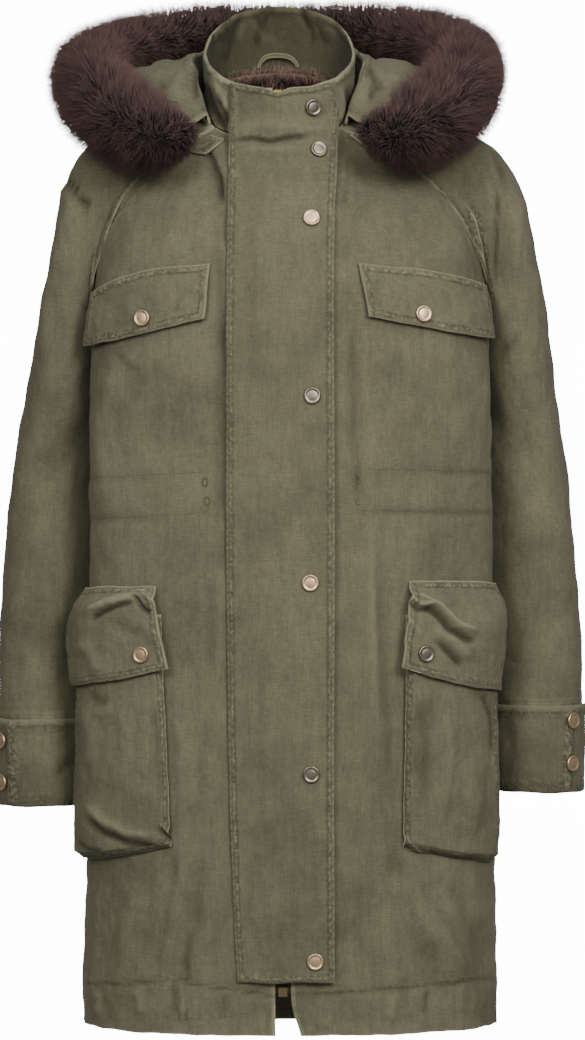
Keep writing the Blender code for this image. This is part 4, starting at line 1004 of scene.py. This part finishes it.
def stitch_points(lines):
    """Places, directions and outward normals of the stitches along lines."""
    places = []
    for line in lines:
        if sum((b - a).length for a, b in zip(line, line[1:])) < SHORTEST_LINE:
            continue
        for spot, run in steps_along(line, STITCH_STEP, 0.5):
            found = [near for near in (tree.find_nearest(spot, STITCH_REACH) for tree in cloth_trees) if near[0]]
            if found:
                hit = min(found, key=lambda near: near[3])
                places.append((hit[0], run, hit[1]))
    return places


def stitch_mesh():
    """One thread stitch: a closed spindle along X that stands half out of the cloth."""
    girth = [(math.cos(a) * STITCH_WIDE / 2.0, math.sin(a) * STITCH_WIDE / 2.0) for a in turns(4)]
    foot = [(0.0, -STITCH_WIDE / 4.0)]
    return lofted("stitch", [[(share * STITCH_LONG, y, z) for y, z in ring]
                             for share, ring in ((-0.5, foot), (-0.3, girth), (0.3, girth), (0.5, foot))])


stitch_lines += [laid_line(seam.path) for seam in RAGLAN + CASING + HEM]
stitch_lines += [laid_line(seam.path, True) for seam in BACK_HEM]
in_rows("topstitching", stitch_points(stitch_lines), bpy.data.objects.new("stitch", stitch_mesh()), THREAD)

# The casing's cord eyelets, worked in thread: where each one is in the view, the half height and half width of the
# ring, and the half width and half thickness of its stitching, in metres
EYELETS = ((205, 482), (207, 501), (358, 479), (358, 500))
RING_HIGH, RING_WIDE, WORK_WIDE, WORK_THICK = 0.0041, 0.0025, 0.0011, 0.0009


def eyelet_mesh():
    """An upright oval ring of buttonhole stitch, its long way along X."""
    return lofted("eyelet", [[(math.cos(a) * (RING_HIGH + math.cos(b) * WORK_WIDE),
                               math.sin(a) * (RING_WIDE + math.cos(b) * WORK_WIDE), math.sin(b) * WORK_THICK)
                              for b in turns(6)] for a in turns(20)], looped=True)


eyelet_hits = [on_cloth(across, down) for across, down in EYELETS]
in_rows("eyelets", [(hit[0], Vector((0.0, 0.0, -1.0)), hit[1]) for hit in eyelet_hits],
        bpy.data.objects.new("eyelet", eyelet_mesh()), THREAD)


# ---- Fur: strands set on a core by Geometry Nodes, combed along the core's own directions

# How far out the skin and the pile's tips lie, as shares of the roll's radius, and how upright the hairs stand
SKIN_SHARE, PILE_SHARE, HAIR_RISE = 0.56, 1.13, 0.74
# Where the roll bends and its pile stands out further over the hood's edge, how widely, and by how much
BENDS = ((-0.142, -0.105, 0.020), (0.128, -0.102, 0.021))
BEND_WIDE, BEND_GAIN = 0.030, 0.55


def strand_mesh():
    """One hair lock, 1 unit thick and 1 long: a closed three-sided taper along +Z."""
    mesh = lofted("strand", [[(math.cos(a) / 2.0, math.sin(a) / 2.0, 0.0) for a in turns(3)], [(0.0, 0.0, 1.0)]])
    set_number(mesh, "along", read(mesh)[:, 2])
    return mesh


def growth_tree():
    """Sets copies of a strand over a mesh, along its comb directions and as long as its reach says."""
    tree, given = new_tree("fur_growth", (("Strand", "Object"), ("Density", "Float"), ("Seed", "Int"),
                                          ("Tangle", "Float"), ("Thick", "Float")))

    def chance(number, low, high):
        return add(tree, "FunctionNodeRandomValue", {"Seed": given["Seed"]}, {2: low, 3: high, 7: number},
                   data_type="FLOAT").outputs[1]

    combed = add(tree, "GeometryNodeInputNamedAttribute", {}, {"Name": "comb"}, data_type="FLOAT_VECTOR")
    reach = add(tree, "GeometryNodeInputNamedAttribute", {}, {"Name": "reach"}, data_type="FLOAT")
    spots = add(tree, "GeometryNodeDistributePointsOnFaces", {"Mesh": given["Geometry"], "Density": given["Density"],
                                                              "Seed": given["Seed"]})
    # locks lean together in clumps about 20 mm wide, and each hair strays a little of its own
    place = add(tree, "GeometryNodeInputPosition")
    clump = add(tree, "ShaderNodeTexNoise", {"Vector": place}, {"Scale": 48.0, "Detail": 1.0},
                noise_dimensions="3D")
    level = add(tree, "ShaderNodeVectorMath", {0: clump.outputs["Color"]}, {1: (0.5, 0.5, 0.5)},
                operation="SUBTRACT")
    clumped = add(tree, "ShaderNodeVectorMath", {0: level}, {"Scale": 1.5}, operation="SCALE")
    stray = add(tree, "FunctionNodeRandomValue", {"Seed": given["Seed"]},
                {0: (-1.0, -1.0, -1.0), 1: (1.0, 1.0, 1.0)}, data_type="FLOAT_VECTOR")
    strayed = add(tree, "ShaderNodeVectorMath", {0: stray, "Scale": given["Tangle"]}, operation="SCALE")
    lean = add(tree, "ShaderNodeVectorMath", {0: combed, 1: clumped}, operation="ADD")
    lean = add(tree, "ShaderNodeVectorMath", {0: lean, 1: strayed}, operation="ADD")
    rolled = add(tree, "FunctionNodeAxisAngleToRotation", {"Angle": chance(5, 0.0, 6.283)},
                 {"Axis": (0.0, 0.0, 1.0)})
    turned = add(tree, "FunctionNodeAlignRotationToVector", {"Rotation": rolled,
                                                             "Vector": lean}, axis="Z")
    long = add(tree, "ShaderNodeMath", {0: reach, 1: chance(9, 0.78, 1.08)}, operation="MULTIPLY")
    size = add(tree, "ShaderNodeCombineXYZ", {0: given["Thick"], 1: given["Thick"], 2: long})
    strand = add(tree, "GeometryNodeObjectInfo", {"Object": given["Strand"]}, {"As Instance": True})
    set_out = add(tree, "GeometryNodeInstanceOnPoints", {
        "Points": spots, "Instance": strand.outputs["Geometry"],
        "Rotation": turned, "Scale": size})
    toned = add(tree, "GeometryNodeStoreNamedAttribute", {"Geometry": set_out,
                                                          "Value": chance(3, 0.0, 1.0)},
                {"Name": "tone"}, data_type="FLOAT", domain="INSTANCE")
    made_real(tree, toned, given)
    return tree


GROWTH = growth_tree()
STRAND = bpy.data.objects.new("strand", strand_mesh())


def grown(name, skin, material, density, seed, tangle, thick):
    """The pile that grows on a skin, with so many hairs to a square metre and so thick, in metres."""
    mesh = sprout(name, GROWTH, skin, {"Strand": STRAND, "Density": density, "Seed": seed, "Tangle": tangle,
                                       "Thick": thick, "Finish": material})
    return finished(name, mesh, material)


def set_skin(skin, comb, reach, along):
    """Says how hair grows on a skin, and how the skin itself looks: as far along a hair, in its middle shade."""
    set_direction(skin, "comb", comb)
    set_number(skin, "reach", reach)
    set_number(skin, "along", np.full(len(comb), along))
    set_number(skin, "tone", np.full(len(comb), 0.4))


def part_of(mesh, name, keep):
    """A copy of a mesh with only the faces whose middle passes a test."""
    part = bmesh.new()
    part.from_mesh(mesh)
    gone = [f for f in part.faces if not keep(f.calc_center_median())]
    bmesh.ops.delete(part, geom=gone, context="FACES")
    return as_mesh(name, part, False)


def fur_roll():
    """The roll of long fur on the hood's edge: a dark skin inside, and combed strands as far as the pile reaches."""
    skin = applied("fur_skin", fetch("fur_trim"), 1)
    points = read(skin)
    middle, apart, _ = nearest_on_roll(points)
    outward = unit(points - middle)
    # the hair is combed away from the neck and down, more so along the roll than at its two ends
    away = unit(points * np.array([1.0, 1.0, 0.0]) + np.array([0.008, -0.01, 0.0])) + np.array([0.0, 0.0, -0.30])
    flow = away - outward * (away * outward).sum(axis=1)[:, None]
    from_end = np.minimum(*[np.linalg.norm(points - FUR_LINE[end, :3], axis=1) for end in (0, -1)])
    laid = smooth((from_end - 0.065) / 0.08)[:, None]
    trail = smooth((away * outward).sum(axis=1) * 1.2 + 0.55)[:, None]
    comb = unit(outward * HAIR_RISE + flow * (0.08 + 0.52 * laid * trail))
    climb = np.clip((comb * outward).sum(axis=1), 0.60, 1.0)
    fuller = sum(bell(np.linalg.norm(points - np.array(bend), axis=1) / BEND_WIDE) for bend in BENDS)
    skin.vertices.foreach_set("co", (middle + (points - middle) * SKIN_SHARE).ravel())
    set_skin(skin, comb, apart * (PILE_SHARE - SKIN_SHARE) / climb * (1.0 + BEND_GAIN * fuller), 0.25)
    for name, keep, seed in (("fur_right", lambda at: at.x < -0.06, 11), ("fur_left", lambda at: at.x >= 0.045, 12),
                             ("fur_back", lambda at: -0.06 <= at.x < 0.045, 13)):
        piece = grown(name, part_of(skin, name + "_skin", keep), FUR, 640000.0, seed, 0.27, 0.00085)
        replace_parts(piece, "fur_trim")
    skin.shade_smooth()
    finished("fur_skin", skin, FUR)


def lining_pile():
    """The short pile of the lining inside the back neck."""
    skin = applied("lining_skin", fetch("fur_lining"), 1)
    points = read(skin)
    inward = unit(points * np.array([-1.0, -1.0, 0.0]) + np.array([-0.008, 0.0, 0.0]))
    up = smooth((points[:, 2] - points[:, 2].max() + 0.030) / 0.030)
    set_skin(skin, inward * 0.45 + np.array([0.0, 0.0, 0.9]), 0.012 + 0.014 * up, 0.1)
    skin.shade_smooth()
    finished("lining_skin", skin, LINING)
    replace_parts(grown("lining_pile", skin.copy(), LINING, 240000.0, 21, 0.30, 0.0008), "fur_lining")


fur_roll()
lining_pile()


# ---- Press studs and zip

# Outline of a stud's cap from its middle to its foot, as radius and height, in mm, for a cap 17 mm wide
STUD_OUTLINE = ((0.0, -0.25), (2.6, -0.28), (4.6, -0.45), (5.6, -0.66), (6.2, -0.40), (6.9, -0.05), (7.4, 0.0),
                (8.0, -0.20), (8.4, -0.75), (8.5, -1.50), (8.3, -2.40))
STUD_SIDES = 32
STUD_SHARP = math.radians(55.0)
# The studs whose caps get the painted dark reflection
STUDS_DARK_REFLECTION = ("flap_snap_1", "flap_snap_2", "flap_snap_4", "flap_snap_6", "pocket_snap_left")


def lathed(name, outline, sides):
    """A turned form: an outline of radius and height, in mm, swept round +Z and closed at the foot."""
    mesh = lofted(name, [[(radius * math.cos(a) / 1000.0, radius * math.sin(a) / 1000.0, height / 1000.0)
                          for a in (turns(sides) if radius else (0.0,))] for radius, height in outline])
    mesh.set_sharp_from_angle(angle=STUD_SHARP)
    return mesh


def stud_place(node):
    """A stud's turn and place: its own axis out of the cloth, and the top of its cap."""
    points = read(node.data)
    middle = points.mean(axis=0)
    _, _, axes = np.linalg.svd(points - middle)
    axis = axes[2]
    out = (away_from_arm if "cuff" in node.name else away_from_body)(middle[None])[0]
    axis = axis if axis @ out > 0.0 else -axis
    top = middle + axis * ((points - middle) @ axis).max()
    return Matrix.Translation(Vector(top)) @ Vector(axis).to_track_quat("Z", "Y").to_matrix().to_4x4()


for name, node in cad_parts.items():
    if "snap" in name:
        cap = lathed(name + "_cap", STUD_OUTLINE, STUD_SIDES)
        cap.transform(stud_place(node))
        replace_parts(finished(name + "_cap", cap, STUD_DARK_REFLECTION if name in STUDS_DARK_REFLECTION else STUD), name)
    elif name.startswith("zip"):
        node.data.materials.clear()
        node.data.materials.append({"zip_tape": TAPE, "zip_box": OLD_BRASS}.get(name, BRASS))

# One zip tooth's size across, deep and along the zip, how much its edges are rounded, and the step from tooth to
# tooth, with every other one on the other side of the middle line, in metres
TOOTH = Vector((0.0034, 0.0011, 0.0022))
TOOTH_ROUND, TOOTH_STEP, TOOTH_ASIDE = 0.0002, 0.0022, 0.0011


def zip_teeth():
    """Two rows of metal teeth that mesh at the zip's middle line."""
    points = read(as_mesh("zip_line", fetch("zip_chain"), False))
    line = []
    for level in np.linspace(points[:, 2].min() + 0.004, points[:, 2].max() - 0.003, 9):
        near = points[np.argsort(np.abs(points[:, 2] - level))[:12]]
        line.append(Vector((near[:, 0].mean(), near[:, 1].min(), level)))
    tooth = bmesh.new()
    bmesh.ops.create_cube(tooth, size=1.0)
    bmesh.ops.scale(tooth, vec=TOOTH, verts=tooth.verts)
    bmesh.ops.bevel(tooth, geom=tooth.edges, offset=TOOTH_ROUND, segments=1, affect="EDGES")
    piece = bpy.data.objects.new("tooth", as_mesh("tooth", tooth, False))
    places = []
    rise = Vector((0.0, -1.0, 0.0))
    for i, (spot, run) in enumerate(steps_along(line, TOOTH_STEP, 0.0)):
        across = run.cross(rise).normalized()
        places.append((spot + across * (TOOTH_ASIDE if i % 2 else -TOOTH_ASIDE), across, rise))
    in_rows("zip_teeth", places, piece, BRASS)


zip_teeth()


# ---- What each piece of cloth was cut to: its flat width and length, in metres, its area in square metres,
# how it is held and what it hangs from
Cut = namedtuple("Cut", "piece width length area held rests_on")
CUTS = (
    Cut("front_left", 0.300, 0.940, 0.250, "hung", ("collar",)),
    Cut("front_right", 0.290, 0.940, 0.238, "hung", ("collar",)),
    Cut("back", 0.560, 1.010, 0.450, "hung", ("collar",)),
    Cut("sleeve_left", 0.420, 0.760, 0.215, "hung", ("front_left", "back")),
    Cut("sleeve_right", 0.420, 0.760, 0.215, "hung", ("front_right", "back")),
    Cut("cuff_left", 0.345, 0.095, 0.0325, "hung", ("sleeve_left",)),
    Cut("cuff_right", 0.345, 0.095, 0.0325, "hung", ("sleeve_right",)),
    Cut("collar", 0.510, 0.062, 0.0305, "gathered", ("back",)),
    Cut("storm_flap", 0.112, 0.930, 0.1000, "hung", ("front_right",)),
    Cut("hood", 0.560, 0.300, 0.1300, "folded", ("collar", "back")),
    Cut("hood_end_left", 0.020, 0.030, 0.00045, "laid", ("front_left",)),
    Cut("hood_end_right", 0.030, 0.024, 0.0006, "laid", ("front_right",)),
    Cut("chest_flap_left", 0.140, 0.068, 0.0088, "laid", ("front_left",)),
    Cut("chest_flap_right", 0.140, 0.068, 0.0088, "laid", ("front_right",)),
    Cut("pocket_left", 0.145, 0.270, 0.0340, "laid", ("front_left",)),
    Cut("pocket_right", 0.150, 0.270, 0.0350, "laid", ("front_right",)),
    Cut("pocket_flap_left", 0.130, 0.120, 0.0147, "laid", ("pocket_left",)),
    Cut("pocket_flap_right", 0.125, 0.115, 0.0135, "laid", ("pocket_right",)),
    Cut("hanger_loop", 0.070, 0.010, 0.0004, "hung", ("collar",)),
)
for cut in CUTS:
    [cloths[name] for name in cut.rests_on]


# ---- Floor, light and camera

# The floor's level and half width, how far behind the coat it starts to sweep up, the sweep's radius, and the top
# of the wall, in metres
FLOOR_LEVEL, FLOOR_HALF, SWEEP_START, SWEEP, WALL_TOP = -1.35, 7.0, 9.4, 1.6, 4.0
# What the lights do: the key gives the folds their tops, the front light fills the chest, and the two at the sides
# model the body. Each has a place, an aim and a size in metres, and a power in watts.
LIGHTS = (
    ("key_light", (0.4, -1.35, 1.5), (0.0, 0.0, -0.05), 0.9, 10.5),
    ("front_light", (0.3, -2.5, 0.6), (0.0, 0.0, 0.10), 1.2, 8.0),
    ("left_light", (-1.3, -2.9, 0.8), (-0.15, 0.0, -0.30), 1.1, 51.0),
    ("right_light", (1.4, -2.9, 0.8), (0.15, 0.0, -0.30), 1.1, 69.0),
)
WORLD_LIGHT = 0.37
SENSOR = 36.0


def stage_set():
    """A pale floor that sweeps up far behind the coat, where it glows white, and soft light from the front, the
    sides and above."""
    mesh = bpy.data.meshes.new("floor")
    sweep = [(SWEEP_START + SWEEP * math.sin(a), FLOOR_LEVEL + SWEEP - SWEEP * math.cos(a))
             for a in np.linspace(0.15, math.pi / 2.0, 9)]
    line = [(-6.0, FLOOR_LEVEL), (SWEEP_START, FLOOR_LEVEL)] + sweep + [(SWEEP_START + SWEEP, WALL_TOP)]
    points = [(x, y, z) for y, z in line for x in (-FLOOR_HALF, FLOOR_HALF)]
    faces = [(2 * i, 2 * i + 1, 2 * i + 3, 2 * i + 2) for i in range(len(line) - 1)]
    mesh.from_pydata(points, [], faces)
    mesh.shade_smooth()
    floor = in_scene("floor", mesh)
    material, tree, shader = new_material("pale_floor", {"Roughness": 0.9, "Emission Color": (1.0, 1.0, 1.0, 1.0)})
    place = add(tree, "ShaderNodeTexCoord").outputs["Object"]
    soft = add(tree, "ShaderNodeTexNoise", {"Vector": place}, {"Scale": 0.6})
    colour = ramp(tree, soft, [(0.3, linear("#8a8a8a")), (0.7, linear("#909090"))])
    # the glow starts 1.9 m behind the coat and fades out from 1.3 m to its sides
    where = add(tree, "ShaderNodeSeparateXYZ", {0: place})
    far = add(tree, "ShaderNodeMapRange", {0: where.outputs["Y"]}, {1: 1.9, 2: 3.0, 3: 0.0, 4: 14.0})
    aside = add(tree, "ShaderNodeMath", {0: where.outputs["X"]}, operation="ABSOLUTE")
    middle = add(tree, "ShaderNodeMapRange", {0: aside}, {1: 1.3, 2: 2.2, 3: 1.0, 4: 0.0})
    glow = add(tree, "ShaderNodeMath", {0: far, 1: middle}, operation="MULTIPLY")
    link(tree, shader, {"Base Color": colour, "Emission Strength": glow})
    mesh.materials.append(material)
    world = bpy.data.worlds.new("soft_room")
    world.use_nodes = True
    world.node_tree.nodes["Background"].inputs["Color"].default_value = (1.0, 1.0, 1.0, 1.0)
    world.node_tree.nodes["Background"].inputs["Strength"].default_value = WORLD_LIGHT
    bpy.context.scene.world = world
    for name, place, aim, size, power in LIGHTS:
        light = bpy.data.lights.new(name, "AREA")
        light.shape = "SQUARE"
        light.size = size
        light.energy = power
        lamp = in_scene(name, light)
        lamp.location = place
        lamp.rotation_euler = (Vector(aim) - Vector(place)).to_track_quat("-Z", "Y").to_euler()


def set_camera():
    data = bpy.data.cameras.new("camera")
    data.sensor_fit = "VERTICAL"
    data.sensor_height = SENSOR
    data.lens = SENSOR * VIEW_REACH / (VIEW_TALL / 1000.0)
    data.clip_end = 60.0
    camera = in_scene("camera", data)
    camera.location = VIEW_POINT
    camera.rotation_euler = (math.pi / 2.0, 0.0, 0.0)
    bpy.context.scene.camera = camera


stage_set()
set_camera()
